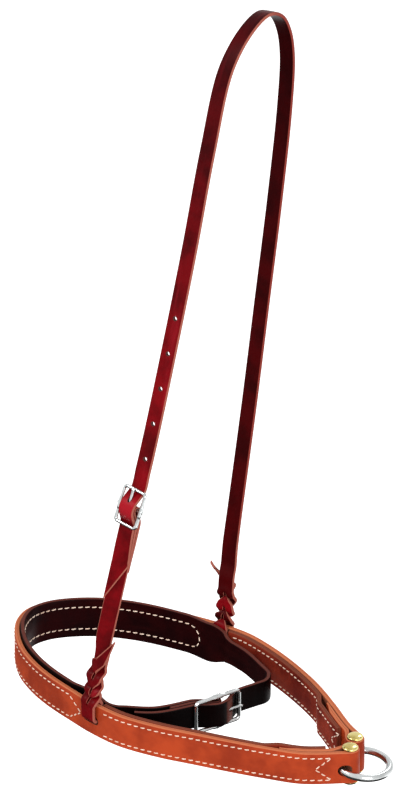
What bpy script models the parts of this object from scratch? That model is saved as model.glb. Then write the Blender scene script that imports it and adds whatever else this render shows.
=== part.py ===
"""Tie-down noseband: a lined nose band on a buckled crown strap, in metres, +Z up.

The origin is the underside of the crown strap where it hangs. +X runs to the tie-down ring and
-Y is the side with the cheek buckle. The straps are drawn in loop coordinates first: x = 0 and
y = 0 midway between the two ring posts, z = 0 on the top edge of the nose band.
"""

import math

import bmesh
import bpy
import numpy as np
from mathutils import Matrix, Vector

# Units
mm = 0.001
inch = 0.0254

# Fits
fit_gap = 0.3 * mm
loop_clear = 0.7 * mm
cut_over = 3 * mm

# Nose band loop, measured on its outer face
loop_length = 303 * mm
loop_half_span = 75 * mm
band_width = 1 * inch
band_thick = 4 * mm
fold_back = 52 * mm
fold_skive = 14 * mm
end_turn = math.radians(25)
end_middle_x = -3.2 * mm
end_middle_y = 1.6 * mm
edge_bevel = 0.5 * mm

# Half of the loop from the nose tip to the ring, as shares of its length and half span
loop_shares = ((1.0, 0.0), (0.987, 0.21), (0.954, 0.40), (0.898, 0.60), (0.832, 0.745),
               (0.766, 0.84), (0.673, 0.925), (0.607, 0.975), (0.528, 1.0), (0.485, 0.985),
               (0.403, 0.913), (0.323, 0.81))
near_end_shares = ((0.240, 0.705), (0.152, 0.58), (0.071, 0.44))
far_end_shares = ((0.238, 0.67), (0.152, 0.485), (0.066, 0.285))

# Spacing of the stations along a strap: straight runs, bends, knots and buckles
run_step = 11 * mm
bend_step = 6 * mm
fold_step = 4 * mm
knot_step = 1.7 * mm

# Leg linings
lining_thick = 3.6 * mm
lining_start = 1.5 * mm
lining_end = 17 * mm

# Crown strap, cheek piece and their slots in the band
strap_width = 0.5 * inch
strap_thick = 2.8 * mm
slot_back = 183 * mm
far_slot_ahead = 4.5 * mm
slot_depth = 9.6 * mm
slot_room = 3.4 * mm
foot_straight = 12 * mm
foot_turn_start = 40 * mm
foot_turn_end = 100 * mm
foot_drift_end = 70 * mm
near_twist = math.radians(20)
twist_start = 28 * mm
twist_end = 144 * mm
twist_in = 32 * mm
twist_out = 36 * mm
crown_drop = 522 * mm
crown_lean_x = 50 * mm
crown_roll_share = 0.19
billet_below = 75 * mm
billet_cut = 29 * mm
cheek_fold = 52 * mm
hole_diameter = 3.6 * mm
hole_pitch = 0.98 * inch
holes_above = 5
hole_first = 36 * mm
hole_drift = 0.1 * mm

# Crown route from the far slot over the top to the near slot: height as a share of the drop,
# sideways place as a share of the loop's half span
crown_shares = ((0.0, 0.98), (0.045, 1.0), (0.10, 1.03), (0.16, 1.055), (0.35, 1.14),
                (0.51, 1.195), (0.67, 1.25), (0.82, 1.275), (0.905, 1.243), (0.953, 1.15),
                (0.986, 1.0), (1.0, 0.80), (0.988, 0.56), (0.945, 0.30), (0.825, 0.12),
                (0.674, -0.035), (0.524, -0.215), (0.375, -0.415), (0.244, -0.63),
                (0.131, -0.80), (0.08, -0.87), (0.035, -0.935), (0.0, -0.98))

# Bleed knots: crossings above the band's top edge, slit and squeeze sizes
knot_crossings = (8 * mm, 18 * mm, 31 * mm)
far_knot_share = 0.82
knot_fade = 12 * mm
knot_clear = 18 * mm
slit_half = 6.2 * mm
slit_flat_share = 0.5
slit_reach_share = 0.98
squeeze_width = 4.4 * mm
squeeze_half = 5.4 * mm
swap_half = 3.6 * mm
tail_length = 12 * mm
tail_cut = 19 * mm
tail_lift = 1.4 * mm
tail_drift = 4 * mm
far_tail_length = 20 * mm
far_tail_lift = 5 * mm
far_tail_drift = 8 * mm

# Jaw strap
jaw_wide = 1.25 * inch
jaw_narrow = 0.75 * inch
jaw_thick = 3.2 * mm
jaw_taper = 24 * mm
jaw_slot_run = 22 * mm
jaw_billet_below = 58 * mm
jaw_turn_back = 34 * mm

# Jaw route from the near slot through the buckle to the far slot, as shares of the loop's
# length back from the ring posts and of its half span
jaw_shares = ((0.545, -0.755), (0.487, -0.59), (0.443, -0.285), (0.4205, -0.063), (0.398, 0.16),
              (0.376, 0.36), (0.3647, 0.48), (0.376, 0.587), (0.416, 0.667), (0.482, 0.773),
              (0.551, 0.833))
jaw_bar_share = 3

# Cheek buckle
cheek_wire = 2.8 * mm
cheek_frame_height = 29.5 * mm
cheek_frame_room = 1.0 * mm
cheek_buckle_height = 158 * mm
cheek_tilt = math.radians(6)

# Jaw buckle
jaw_wire = 3.0 * mm
jaw_frame_height = 35 * mm
jaw_frame_room = 0.9 * mm
jaw_tilt = math.radians(5)

# Buckle pins and corners
pin_diameter = 2.2 * mm
pin_stand = 0.5 * mm
boss_share = 1.35
boss_half = 3.2 * mm
corner_share = 1.25

# Tongues
tongue_wire = 2.2 * mm
tongue_slot_room = 0.5 * mm
tongue_tip_over = 1.8 * mm
tongue_lift = math.radians(6)
tongue_curl = math.radians(250)

# Tie-down ring and its posts
ring_inside = 1.25 * inch
ring_wire = 5.5 * mm
ring_reach = 8.3 * mm
ring_droop = math.radians(5.4)
ring_slot_height = 9.2 * mm
ring_slot_level = 14.6 * mm
ring_room = 1.2 * mm
post_gap = 15 * mm
post_diameter = 5.2 * mm
cap_diameter = 11.6 * mm
cap_height = 2.6 * mm
cap_rim = 0.7 * mm
screw_shank = 3.4 * mm
screw_depth = 9 * mm
drive_slot_width = 1.2 * mm
drive_slot_depth = 0.8 * mm

# Apex of the crown in loop coordinates, from the route
apex_share = max(range(len(crown_shares)), key=lambda i: crown_shares[i][0])
apex_x = -slot_back + crown_lean_x
apex_y = crown_shares[apex_share][1] * loop_half_span
apex_z = crown_drop - strap_thick / 2
shift = Vector((-apex_x, -apex_y, -apex_z))

axis_x = Vector((1, 0, 0))
axis_y = Vector((0, 1, 0))
axis_z = Vector((0, 0, 1))


def clear_scene():
    for item in list(bpy.data.objects):
        bpy.data.objects.remove(item, do_unlink=True)


def make_material(name, colour, roughness, metallic=0.0):
    material = bpy.data.materials.new(name)
    material.use_nodes = True
    shader = material.node_tree.nodes["Principled BSDF"]
    shader.inputs["Base Color"].default_value = (*colour, 1.0)
    shader.inputs["Roughness"].default_value = roughness
    shader.inputs["Metallic"].default_value = metallic
    return material


def add_empty(name, place):
    empty = bpy.data.objects.new(name, None)
    empty.location = place + shift
    bpy.context.scene.collection.objects.link(empty)
    return empty


def add_object(name, bm, material, pivot=None, smooth_angle=40.0):
    """Link a mesh as one named piece, with its origin on its joint's pivot if it has one."""
    bmesh.ops.recalc_face_normals(bm, faces=bm.faces)
    centre = pivot.location - shift if pivot else Vector((0, 0, 0))
    bmesh.ops.translate(bm, verts=bm.verts, vec=-centre)
    mesh = bpy.data.meshes.new(name)
    bm.to_mesh(mesh)
    bm.free()
    mesh.materials.append(material)
    mesh.shade_smooth()
    mesh.set_sharp_from_angle(angle=math.radians(smooth_angle))
    item = bpy.data.objects.new(name, mesh)
    bpy.context.scene.collection.objects.link(item)
    if pivot:
        item.parent = pivot
    else:
        item.location = shift
    return item


def add_cutter(target, name, bm):
    """Cut a closed shape, given in loop coordinates, out of a piece."""
    bmesh.ops.recalc_face_normals(bm, faces=bm.faces)
    mesh = bpy.data.meshes.new(name)
    bm.to_mesh(mesh)
    bm.free()
    cutter = bpy.data.objects.new(name, mesh)
    cutter.location = shift
    cutter.hide_render = True
    cutter.display_type = 'WIRE'
    bpy.context.scene.collection.objects.link(cutter)
    cut = target.modifiers.new(name, 'BOOLEAN')
    cut.operation = 'DIFFERENCE'
    cut.solver = 'EXACT'
    cut.object = cutter


def smoothstep(value):
    value = min(1.0, max(0.0, value))
    return value * value * (3 - 2 * value)


def mix(first, second, share):
    return first + (second - first) * share


class Curve:
    """A smooth curve through points, read by length along it, with straight ends beyond."""

    def __init__(self, points, per_span=24):
        points = [np.array(p, float) for p in points]
        first = 2 * points[0] - points[1]
        last = 2 * points[-1] - points[-2]
        padded = [first] + points + [last]
        samples = []
        for i in range(1, len(padded) - 2):
            p0, p1, p2, p3 = padded[i - 1:i + 3]
            d0, d1, d2 = (max(np.linalg.norm(b - a), fit_gap / 1000) ** 0.5
                          for a, b in ((p0, p1), (p1, p2), (p2, p3)))
            m1 = (p1 - p0) / d0 - (p2 - p0) / (d0 + d1) + (p2 - p1) / d1
            m2 = (p2 - p1) / d1 - (p3 - p1) / (d1 + d2) + (p3 - p2) / d2
            for k in range(per_span):
                t = k / per_span
                h = (2 * t ** 3 - 3 * t ** 2 + 1, t ** 3 - 2 * t ** 2 + t,
                     3 * t ** 2 - 2 * t ** 3, t ** 3 - t ** 2)
                samples.append(h[0] * p1 + h[1] * m1 * d1 + h[2] * p2 + h[3] * m2 * d1)
        samples.append(points[-1])
        self.points = np.array(samples)
        steps = np.linalg.norm(np.diff(self.points, axis=0), axis=1)
        self.lengths = np.concatenate(([0.0], np.cumsum(steps)))
        self.length = self.lengths[-1]

    def at(self, s):
        if s < 0:
            return self.points[0] + s * self.direction(0)
        if s > self.length:
            return self.points[-1] + (s - self.length) * self.direction(self.length)
        return np.array([np.interp(s, self.lengths, column) for column in self.points.T])

    def direction(self, s):
        step = self.length / 2000
        low = min(max(s - step, 0), self.length - 2 * step)
        delta = self.at(low + 2 * step) - self.at(low)
        return delta / np.linalg.norm(delta)

    def where(self, column, value, rising=True):
        """Length along the curve where one coordinate first passes a value."""
        data = self.points[:, column]
        for i in range(len(data) - 1):
            a, b = data[i], data[i + 1]
            crosses = a <= value < b if rising else a >= value > b
            if crosses:
                share = (value - a) / (b - a)
                return mix(self.lengths[i], self.lengths[i + 1], share)
        return 0.0 if abs(data[0] - value) < abs(data[-1] - value) else self.length


def unit(vector):
    return Vector(vector).normalized()


def section(centre, across, through, width, thick, bevel, columns=True):
    """Corner points of one strap section: middle top, left side, middle bottom, right side."""
    a = across * (width / 2)
    n = through * (thick / 2)
    b = min(bevel, thick / 4, width / 6)
    ai = across * b
    ni = through * b
    left = [centre - a + ai + n, centre - a + n - ni, centre - a - n + ni, centre - a + ai - n]
    right = [centre + a - ai - n, centre + a - n + ni, centre + a + n - ni, centre + a - ai + n]
    if columns:
        return [centre + n] + left + [centre - n] + right
    return left + right


def leg_sections(centre, across, through, width, thick, bevel, opening):
    """Two half sections of a slit strap, spread so that their cut edges stand apart."""
    a = across * (width / 2)
    n = through * (thick / 2)
    b = min(bevel, thick / 4, width / 6)
    ai = across * b
    ni = through * b
    out = across * opening
    left = [centre - out + n, centre - out - a + ai + n, centre - out - a + n - ni,
            centre - out - a - n + ni, centre - out - a + ai - n, centre - out - n]
    right = [centre + out - n, centre + out + a - ai - n, centre + out + a - n + ni,
             centre + out + a + n - ni, centre + out + a - ai + n, centre + out + n]
    return left, right


def strap(stations, bevel=edge_bevel):
    """A closed strap solid from stations, each a dictionary with its centre, the direction
    across the strap, the direction through it, width, thickness and slit opening."""
    bm = bmesh.new()
    slitted = any(s.get("opening", 0) > 0 for s in stations)
    rings = []
    for s in stations:
        opening = s.get("opening", 0)
        shape = (s["centre"], s["across"], s["through"], s["width"], s["thick"], bevel)
        if opening > 0:
            left, right = leg_sections(*shape, opening)
            rings.append(([bm.verts.new(p) for p in left], [bm.verts.new(p) for p in right]))
        else:
            rings.append([bm.verts.new(p) for p in section(*shape, columns=slitted)])

    def bridge(first, second):
        count = len(first)
        for i in range(count):
            j = (i + 1) % count
            bm.faces.new((first[i], first[j], second[j], second[i]))

    def halves(ring):
        return ring[0:6], [ring[5]] + ring[6:10] + [ring[0]]

    for first, second in zip(rings[:-1], rings[1:]):
        first_split = isinstance(first, tuple)
        second_split = isinstance(second, tuple)
        if first_split or second_split:
            a = first if first_split else halves(first)
            b = second if second_split else halves(second)
            bridge(a[0], b[0])
            bridge(a[1], b[1])
        else:
            bridge(first, second)
    bm.faces.new(list(reversed(rings[0])))
    bm.faces.new(rings[-1])
    return bm


def tube(points, radius, sides=10, closed=False, tips=None):
    """A round bar along points. Tips may give a radius share for each point."""
    bm = bmesh.new()
    count = len(points)
    points = [Vector(p) for p in points]
    rings = []
    normal = None
    for i, point in enumerate(points):
        before = points[(i - 1) % count] if closed or i > 0 else point
        after = points[(i + 1) % count] if closed or i < count - 1 else point
        along = (after - before).normalized()
        if normal is None:
            normal = along.orthogonal().normalized()
        normal = (normal - along * normal.dot(along)).normalized()
        other = along.cross(normal)
        r = radius * (tips[i] if tips else 1.0)
        ring = []
        for k in range(sides):
            angle = 2 * math.pi * k / sides
            ring.append(bm.verts.new(point + (normal * math.cos(angle) + other * math.sin(angle)) * r))
        rings.append(ring)
    pairs = list(zip(rings[:-1], rings[1:]))
    if closed:
        pairs.append((rings[-1], rings[0]))
    for first, second in pairs:
        offset = 0
        if first is rings[-1]:
            offset = min(range(sides), key=lambda k: (first[0].co - second[k].co).length)
        for k in range(sides):
            j = (k + 1) % sides
            bm.faces.new((first[k], first[j], second[(j + offset) % sides], second[(k + offset) % sides]))
    if not closed:
        bm.faces.new(list(reversed(rings[0])))
        bm.faces.new(rings[-1])
    return bm


def turned(profile, centre, axis=axis_z, sides=24):
    """A solid of revolution from (radius, height) points, both ends on the axis."""
    bm = bmesh.new()
    side = axis.orthogonal().normalized()
    other = axis.cross(side)
    rings = []
    for radius, height in profile:
        base = centre + axis * height
        if radius == 0:
            rings.append([bm.verts.new(base)])
            continue
        ring = []
        for k in range(sides):
            angle = 2 * math.pi * k / sides
            ring.append(bm.verts.new(base + (side * math.cos(angle) + other * math.sin(angle)) * radius))
        rings.append(ring)
    for first, second in zip(rings[:-1], rings[1:]):
        for k in range(sides):
            j = (k + 1) % sides
            if len(first) == 1:
                bm.faces.new((first[0], second[j], second[k]))
            elif len(second) == 1:
                bm.faces.new((first[k], first[j], second[0]))
            else:
                bm.faces.new((first[k], first[j], second[j], second[k]))
    return bm


def stadium_cutter(centre, along, across, depth_axis, length, height, depth, steps=6):
    """A slot cutter with round ends: length along, height across, through the strap."""
    bm = bmesh.new()
    radius = height / 2
    half = max(length / 2 - radius, 0)
    outline = []
    for side in (1, -1):
        for k in range(steps + 1):
            angle = math.pi * k / steps - math.pi / 2
            x = side * (half + radius * math.cos(angle))
            y = side * radius * math.sin(angle)
            outline.append(centre + along * x + across * y)
    near = [bm.verts.new(p - depth_axis * (depth / 2)) for p in outline]
    far = [bm.verts.new(p + depth_axis * (depth / 2)) for p in outline]
    count = len(outline)
    for k in range(count):
        j = (k + 1) % count
        bm.faces.new((near[k], near[j], far[j], far[k]))
    bm.faces.new(list(reversed(near)))
    bm.faces.new(far)
    return bm


def box_cutter(centre, along, across, through, size):
    bm = bmesh.new()
    bmesh.ops.create_cube(bm, size=1.0)
    frame = Matrix((along * size[0], across * size[1], through * size[2])).transposed().to_4x4()
    frame.translation = centre
    bmesh.ops.transform(bm, matrix=frame, verts=bm.verts)
    return bm


# Plan of the loop and its ring

ring_radius = (ring_inside + ring_wire) / 2
end_middle = Vector((end_middle_x, end_middle_y, 0))
end_ahead = Vector((math.cos(end_turn), math.sin(end_turn), 0))
end_aside = Vector((-math.sin(end_turn), math.cos(end_turn), 0))
post_near = end_middle - end_aside * (post_gap / 2)
post_far = end_middle + end_aside * (post_gap / 2)
ring_centre = end_middle + end_ahead * ring_reach - axis_z * ring_slot_level
eye_inside = post_diameter / 2 + fit_gap
eye_middle = eye_inside + band_thick / 2


def loop_plan():
    """Centre line of the band from the near post's side round the nose to the far post's side,
    moved in from the outer face by half the thickness."""
    def places(shares, side):
        return [Vector((-x * loop_length, side * y * loop_half_span)) for x, y in shares]

    def tangent(point, post, side):
        """Where a straight run from a point meets the eye round a post, and its direction."""
        away = post.xy - point
        angle = math.atan2(away.y, away.x)
        angle -= side * math.asin(-(eye_inside + band_thick) / away.length)
        ahead = Vector((math.cos(angle), math.sin(angle)))
        normal = Vector((-ahead.y, ahead.x)) * side
        return post.xy + normal * (eye_inside + band_thick), ahead

    near = places(loop_shares + near_end_shares, -1)[::-1]
    far = places((loop_shares + far_end_shares)[1:], 1)
    near_touch, near_ahead = tangent(near[0], post_near, -1)
    far_touch, far_ahead = tangent(far[-1], post_far, 1)
    outer = Curve([near_touch] + near + far + [far_touch])
    count = 260
    line = []
    for i in range(count + 1):
        s = outer.length * i / count
        place = outer.at(s)
        ahead = outer.direction(s)
        if i == 0:
            ahead = -near_ahead
        if i == count:
            ahead = far_ahead
        inward = np.array((ahead[1], -ahead[0]))
        line.append(place + inward * band_thick / 2)
    return Curve(line, per_span=1)


plan = loop_plan()


def plan_frame(s, inset=0.0, drop=0.0):
    """Place, direction along and outward normal on the band's centre line."""
    place = plan.at(s)
    ahead = plan.direction(s)
    outward = Vector((-ahead[1], ahead[0], 0))
    centre = Vector((place[0], place[1], -drop)) - outward * inset
    return centre, Vector((ahead[0], ahead[1], 0)), outward


def station(centre, across, through, width, thick, opening=0.0):
    return {"centre": Vector(centre), "across": unit(across), "through": unit(through),
            "width": width, "thick": thick, "opening": opening}


def spread(start, stop, step):
    """Even places from start to stop, about a step apart."""
    count = max(1, math.ceil(abs(stop - start) / step))
    return [start + (stop - start) * i / count for i in range(count + 1)]


slot_near_s = plan.where(0, -slot_back, rising=False)
far_side = Curve(plan.points[::-1], per_span=1)
slot_far_s = plan.length - far_side.where(0, far_slot_ahead - slot_back, rising=False)


def band_path():
    """Stations of the outer band: fold-back, eye, leg, nose, leg, eye, fold-back."""
    stations = []
    middle = band_width / 2
    inner_inset = band_thick + fit_gap

    def fold(post, end_s, sign):
        """Fold-back and eye of one leg end, from its tip to the start of the outer layer."""
        part = []
        last_ahead, last_out = plan_frame(end_s)[1:]
        for d in spread(fold_back, 0.0, fold_step):
            s = end_s + sign * d
            skive = smoothstep((fold_back - d) / fold_skive)
            thick = mix(0.35, 1.0, skive) * band_thick
            ease = smoothstep(d / (3 * eye_middle))
            centre, ahead, outward = plan_frame(s, band_thick / 2 + fit_gap + thick / 2, middle)
            flat = centre
            tight = Vector((post.x, post.y, -middle)) - last_out * eye_middle
            tight += last_ahead * (sign * d)
            part.append((mix(tight, flat, ease), outward, thick))
        outward = part[-1][1]
        centre = Vector((post.x, post.y, -middle))
        start = math.atan2(-outward.y, -outward.x)
        turn = -sign
        for k in range(1, 12):
            angle = start + turn * math.pi * k / 12
            ray = Vector((math.cos(angle), math.sin(angle), 0))
            part.append((centre + ray * eye_middle, -ray, band_thick))
        return part

    near = fold(post_near, 0.0, 1)
    far = fold(post_far, plan.length, -1)
    for centre, through, thick in near:
        stations.append(station(centre, axis_z, through, band_width, thick))
    for s in spread(0.0, plan.length, bend_step):
        centre, ahead, outward = plan_frame(s, 0.0, middle)
        stations.append(station(centre, axis_z, -outward, band_width, band_thick))
    for centre, through, thick in reversed(far):
        stations.append(station(centre, axis_z, through, band_width, thick))
    return stations


def lining_path(slot_s, end_s, sign):
    """Stations of one leg lining, stepping in over the fold-back behind it."""
    stations = []
    start = slot_s - sign * (strap_width / 2 + loop_clear + lining_start)
    stop = end_s + sign * lining_end
    for s in spread(start, stop, bend_step):
        d = abs(s - end_s)
        over = smoothstep((fold_back + fit_gap - d) / fold_skive + 1)
        inset = band_thick / 2 + fit_gap + lining_thick / 2 + over * (band_thick + fit_gap)
        centre, ahead, outward = plan_frame(s, inset, band_width / 2)
        stations.append(station(centre, axis_z, -outward, band_width, lining_thick))
    return stations


# Crown route

def crown_curve():
    points = []
    for height, side in crown_shares:
        x = -slot_back + crown_lean_x * height
        points.append((x, side * loop_half_span, height * crown_drop))
    return Curve(points)


crown = crown_curve()


class Leg:
    """One side of the headstall, read by height along it from the band's top edge."""

    def __init__(self, slot_s, side):
        self.side = side
        place, ahead, outward = plan_frame(slot_s)
        self.base = place
        self.foot_across = Vector((ahead.x, ahead.y, 0)) * (1 if ahead.x * -side > 0 else -1)
        self.foot_out = outward
        line = crown.points if side > 0 else crown.points[::-1]
        peak = int(np.argmax(line[:, 2]))
        drift = np.array((self.base[0] + slot_back, 0, 0))
        rest = [p + drift * (1 - smoothstep(p[2] / foot_drift_end))
                for p in line[:peak + 1] if p[2] > foot_straight]
        low = [np.array(self.base - axis_z * drop)
               for drop in spread(band_width, 0.0, band_width / 3)]
        self.route = Curve(low + rest, per_span=2)
        self.zero = self.route.where(2, 0.0)

    def frame(self, height):
        """Place, upward direction, direction across and outward normal."""
        s = self.zero + height
        up = Vector(self.route.direction(s))
        place = Vector(self.route.at(s))
        level = smoothstep((height - foot_turn_start) / (foot_turn_end - foot_turn_start))
        across = self.foot_across.lerp(axis_x * (-self.side), level)
        if self.side < 0:
            turn = smoothstep((height - twist_start) / twist_in)
            turn *= near_twist * smoothstep((twist_end - height) / twist_out)
            across = across * math.cos(turn) + axis_z.cross(across) * math.sin(turn)
        rise = smoothstep((place.z / crown_drop - 0.8) / 0.2) * crown_roll_share
        across += axis_z * (rise * -self.side)
        across = (across - up * across.dot(up)).normalized()
        outward = across.cross(up).normalized()
        return place, up, across, outward

    def on(self, height, out):
        """A point at a height along the leg and a distance outwards from it."""
        place, up, across, outward = self.frame(height)
        return place + outward * out, up, across, outward


near_leg = Leg(slot_near_s, -1)
far_leg = Leg(slot_far_s, 1)

layer = strap_thick + fit_gap
face_out = band_thick / 2 + loop_clear + strap_thick / 2
level_out = layer / 2 + fit_gap


def knot_levels(height, start):
    """Distance outwards of a knot's strap at a height. Start is its side below the first
    crossing: 1 for the layer that comes out over the band, -1 for the one behind it."""
    side = start
    level = start * level_out
    for crossing in knot_crossings:
        swap = smoothstep((height - crossing + swap_half) / (2 * swap_half))
        level += -2 * side * level_out * swap
        side = -side
    foot = 1 - smoothstep(height / (knot_crossings[0] - swap_half / 2))
    return level + foot * start * (face_out - level_out)


def knot_opening(height, slits):
    for crossing in slits:
        away = abs(height - crossing) / slit_half
        if away < slit_reach_share:
            return (squeeze_width / 2 + fit_gap) * smoothstep((1 - away) / (1 - slit_flat_share))
    return 0.0


def knot_width(height, squeezes):
    for crossing in squeezes:
        away = abs(height - crossing) / squeeze_half
        if away < 1:
            tight = smoothstep((1 - away) / 0.55)
            return mix(strap_width, squeeze_width, tight)
    return strap_width


def flat_path(leg, line, sign=1.0, widths=None, openings=None, thick=strap_thick, shifts=None):
    """Strap stations from a line of (height, out) pairs drawn in a leg's own section."""
    stations = []
    count = len(line)
    for i, (height, out) in enumerate(line):
        before = line[max(i - 1, 0)]
        after = line[min(i + 1, count - 1)]
        place, up, across, outward = leg.on(height, out)
        run = up * (after[0] - before[0]) + outward * (after[1] - before[1])
        run.normalize()
        through = (across * sign).cross(run).normalized()
        width = widths[i] if widths else strap_width
        opening = openings[i] if openings else 0.0
        place += across * (shifts[i] if shifts else 0.0)
        stations.append(station(place, across * sign, through, width, thick, opening))
    return stations


def knot_line(leg_top, tail_top, size, lift, drift):
    """Line, widths, openings and sideways shifts of the looped strap end: main part down to the
    slot, round the band's upper edge and up again as the tail. Size scales its height."""
    line = []
    widths = []
    openings = []
    shifts = []
    first, second, third = knot_crossings
    clear_top = (third + swap_half) * size

    def add(height, out, squeezes=(), slits=(), shift=0.0):
        line.append((height, out))
        widths.append(knot_width(height / size, squeezes))
        openings.append(knot_opening(height / size, slits))
        shifts.append(shift)

    heights = spread(leg_top, (third + slit_half) * size, fold_step)[:-1]
    heights += spread((third + slit_half) * size, -slot_depth, knot_step)
    for height in heights:
        fade = smoothstep((height - clear_top - knot_fade) / knot_fade)
        add(height, mix(knot_levels(height / size, 1), 0.0, fade), (second,), (first, third))
    for k in range(1, 8):
        angle = math.pi * k / 8
        add(-slot_depth - face_out * math.sin(angle), face_out * math.cos(angle))
    for height in spread(-slot_depth, clear_top, knot_step)[:-1]:
        add(height, knot_levels(height / size, -1), (first, third), (second,))
    for height in spread(clear_top, tail_top - tail_cut / 2, fold_step) + [tail_top]:
        rise = smoothstep((height - clear_top) / (tail_top - clear_top))
        out = knot_levels(height / size, -1) + rise * lift
        add(height, out, (first, third), (second,), rise * drift)
    return line, widths, openings, shifts


def slant_end(end, cut):
    """Turn an end station into a slanting cut."""
    run = end["through"].cross(end["across"])
    edge = end["across"] * end["width"] + run * cut
    end["across"] = edge.normalized()
    end["width"] = edge.length


# Buckle layers, drawn in the section across the bars: (height from the centre bar, out)

class BuckleSection:
    def __init__(self, wire, frame_height, tilt, thick, level, width, room):
        self.wire = wire
        self.width = width + 2 * room + wire
        self.thick = thick
        self.layer = thick + fit_gap
        self.half = (frame_height - wire) / 2
        self.tilt = tilt
        self.hug = pin_diameter / 2 + fit_gap + thick / 2
        self.level = level
        lower_bar = level + self.layer + thick / 2 + fit_gap * 2 + wire / 2
        self.bar_out = lower_bar - self.half * math.sin(tilt)

    def bar(self, share):
        """Centre of a bar at a share of the half height: 1 top, 0 centre, -1 bottom."""
        return (share * self.half * math.cos(self.tilt),
                self.bar_out - share * self.half * math.sin(self.tilt))

    def outer_layer(self, height):
        rise = smoothstep(1 + height / self.half)
        return mix(self.level, self.bar_out + self.hug, rise)

    def inner_layer(self, height):
        rise = smoothstep(1 + height / self.half)
        return mix(self.level - self.layer, self.bar_out - self.hug, rise)

    def wrap(self, steps=9):
        """Points round the centre bar from the inner layer over the top to the outer one."""
        points = []
        for k in range(1, steps):
            angle = math.pi * k / steps
            points.append((self.hug * math.sin(angle), self.bar_out - self.hug * math.cos(angle)))
        return points

    def billet(self, settle, step):
        """The tongue-end strap over the centre bar and under the outer bars, from above."""
        reach = self.hug + self.layer
        top_height, top_out = self.bar(1)
        under = top_out - self.wire / 2 - self.thick / 2 - 2.5 * fit_gap
        knots = [(top_height + settle, 0.0), (top_height + settle * 0.55, under * 0.35),
                 (top_height, under)]
        for degrees in (52, 34, 16, 0):
            angle = math.radians(degrees)
            knots.append((reach * math.sin(angle), self.bar_out + reach * math.cos(angle)))
        lower = []
        nudge = self.half / 100
        for height in spread(0.0, -self.half * 1.15, self.half / 10)[1:]:
            slope = (self.outer_layer(height + nudge) - self.outer_layer(height - nudge))
            slope /= 2 * nudge
            length = math.hypot(1, slope)
            lower.append((height - slope * self.layer / length,
                          self.outer_layer(height) + self.layer / length))
        lower = [p for p in lower if p[0] < -reach * 0.3]
        curve = Curve(knots + lower[1::3] + [lower[-1]])
        return [tuple(curve.at(s)) for s in spread(0.0, curve.length, step)]


cheek = BuckleSection(cheek_wire, cheek_frame_height, cheek_tilt, strap_thick, 0.0,
                      strap_width, cheek_frame_room)
jaw = BuckleSection(jaw_wire, jaw_frame_height, jaw_tilt, jaw_thick, jaw_thick + fit_gap,
                    jaw_narrow, jaw_frame_room)


class Route:
    """The jaw strap's run between the slots, read by length from the buckle's bar: positive
    towards the far side, with outwards towards the ring."""

    def __init__(self):
        inset = band_thick / 2 + 2 * loop_clear + strap_thick + jaw_thick / 2
        start, ahead, outward = plan_frame(slot_near_s, inset)
        end, end_run, end_outward = plan_frame(slot_far_s, inset)
        middle = [Vector((-x * loop_length, y * loop_half_span, 0)) for x, y in jaw_shares]
        line = [start + ahead * (strap_width / 2), start - ahead * (strap_width / 2)] + middle
        line += [end + end_run * (strap_width / 2), end - end_run * (strap_width / 2)]
        self.curve = Curve([(p.x, p.y, -band_width / 2) for p in line], per_span=30)
        self.zero = self.curve.lengths[(jaw_bar_share + 2) * 30]

    def frame(self, length):
        s = self.zero + length
        place = Vector(self.curve.at(s))
        up = Vector(self.curve.direction(s))
        across = -axis_z
        return place, up, across, across.cross(up).normalized()

    def on(self, length, out):
        place, up, across, outward = self.frame(length)
        return place + outward * out, up, across, outward


jaw_route = Route()


def build_cheek_piece(material):
    height = cheek_buckle_height
    line = [(h + height, cheek.inner_layer(h)) for h in spread(-cheek_fold, -cheek.half, run_step)]
    line += [(h + height, cheek.inner_layer(h)) for h in spread(-cheek.half, 0.0, knot_step)[1:]]
    line += [(h + height, out) for h, out in cheek.wrap()]
    line += [(h + height, cheek.outer_layer(h)) for h in spread(0.0, -cheek.half, knot_step)]
    tail_top = knot_crossings[2] + swap_half + tail_length
    top = tail_top + knot_clear
    line += [(h, 0.0) for h in spread(height - cheek.half, top, run_step)[1:]]
    plain = [0.0] * len(line)
    knot, widths, openings, shifts = knot_line(top, tail_top, 1.0, tail_lift, tail_drift)
    stations = flat_path(near_leg, line + knot[1:], 1.0, [strap_width] * len(line) + widths[1:],
                         plain + openings[1:], shifts=plain + shifts[1:])
    slant_end(stations[-1], tail_cut)
    return add_object("cheek_piece", strap(stations), material)


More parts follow.
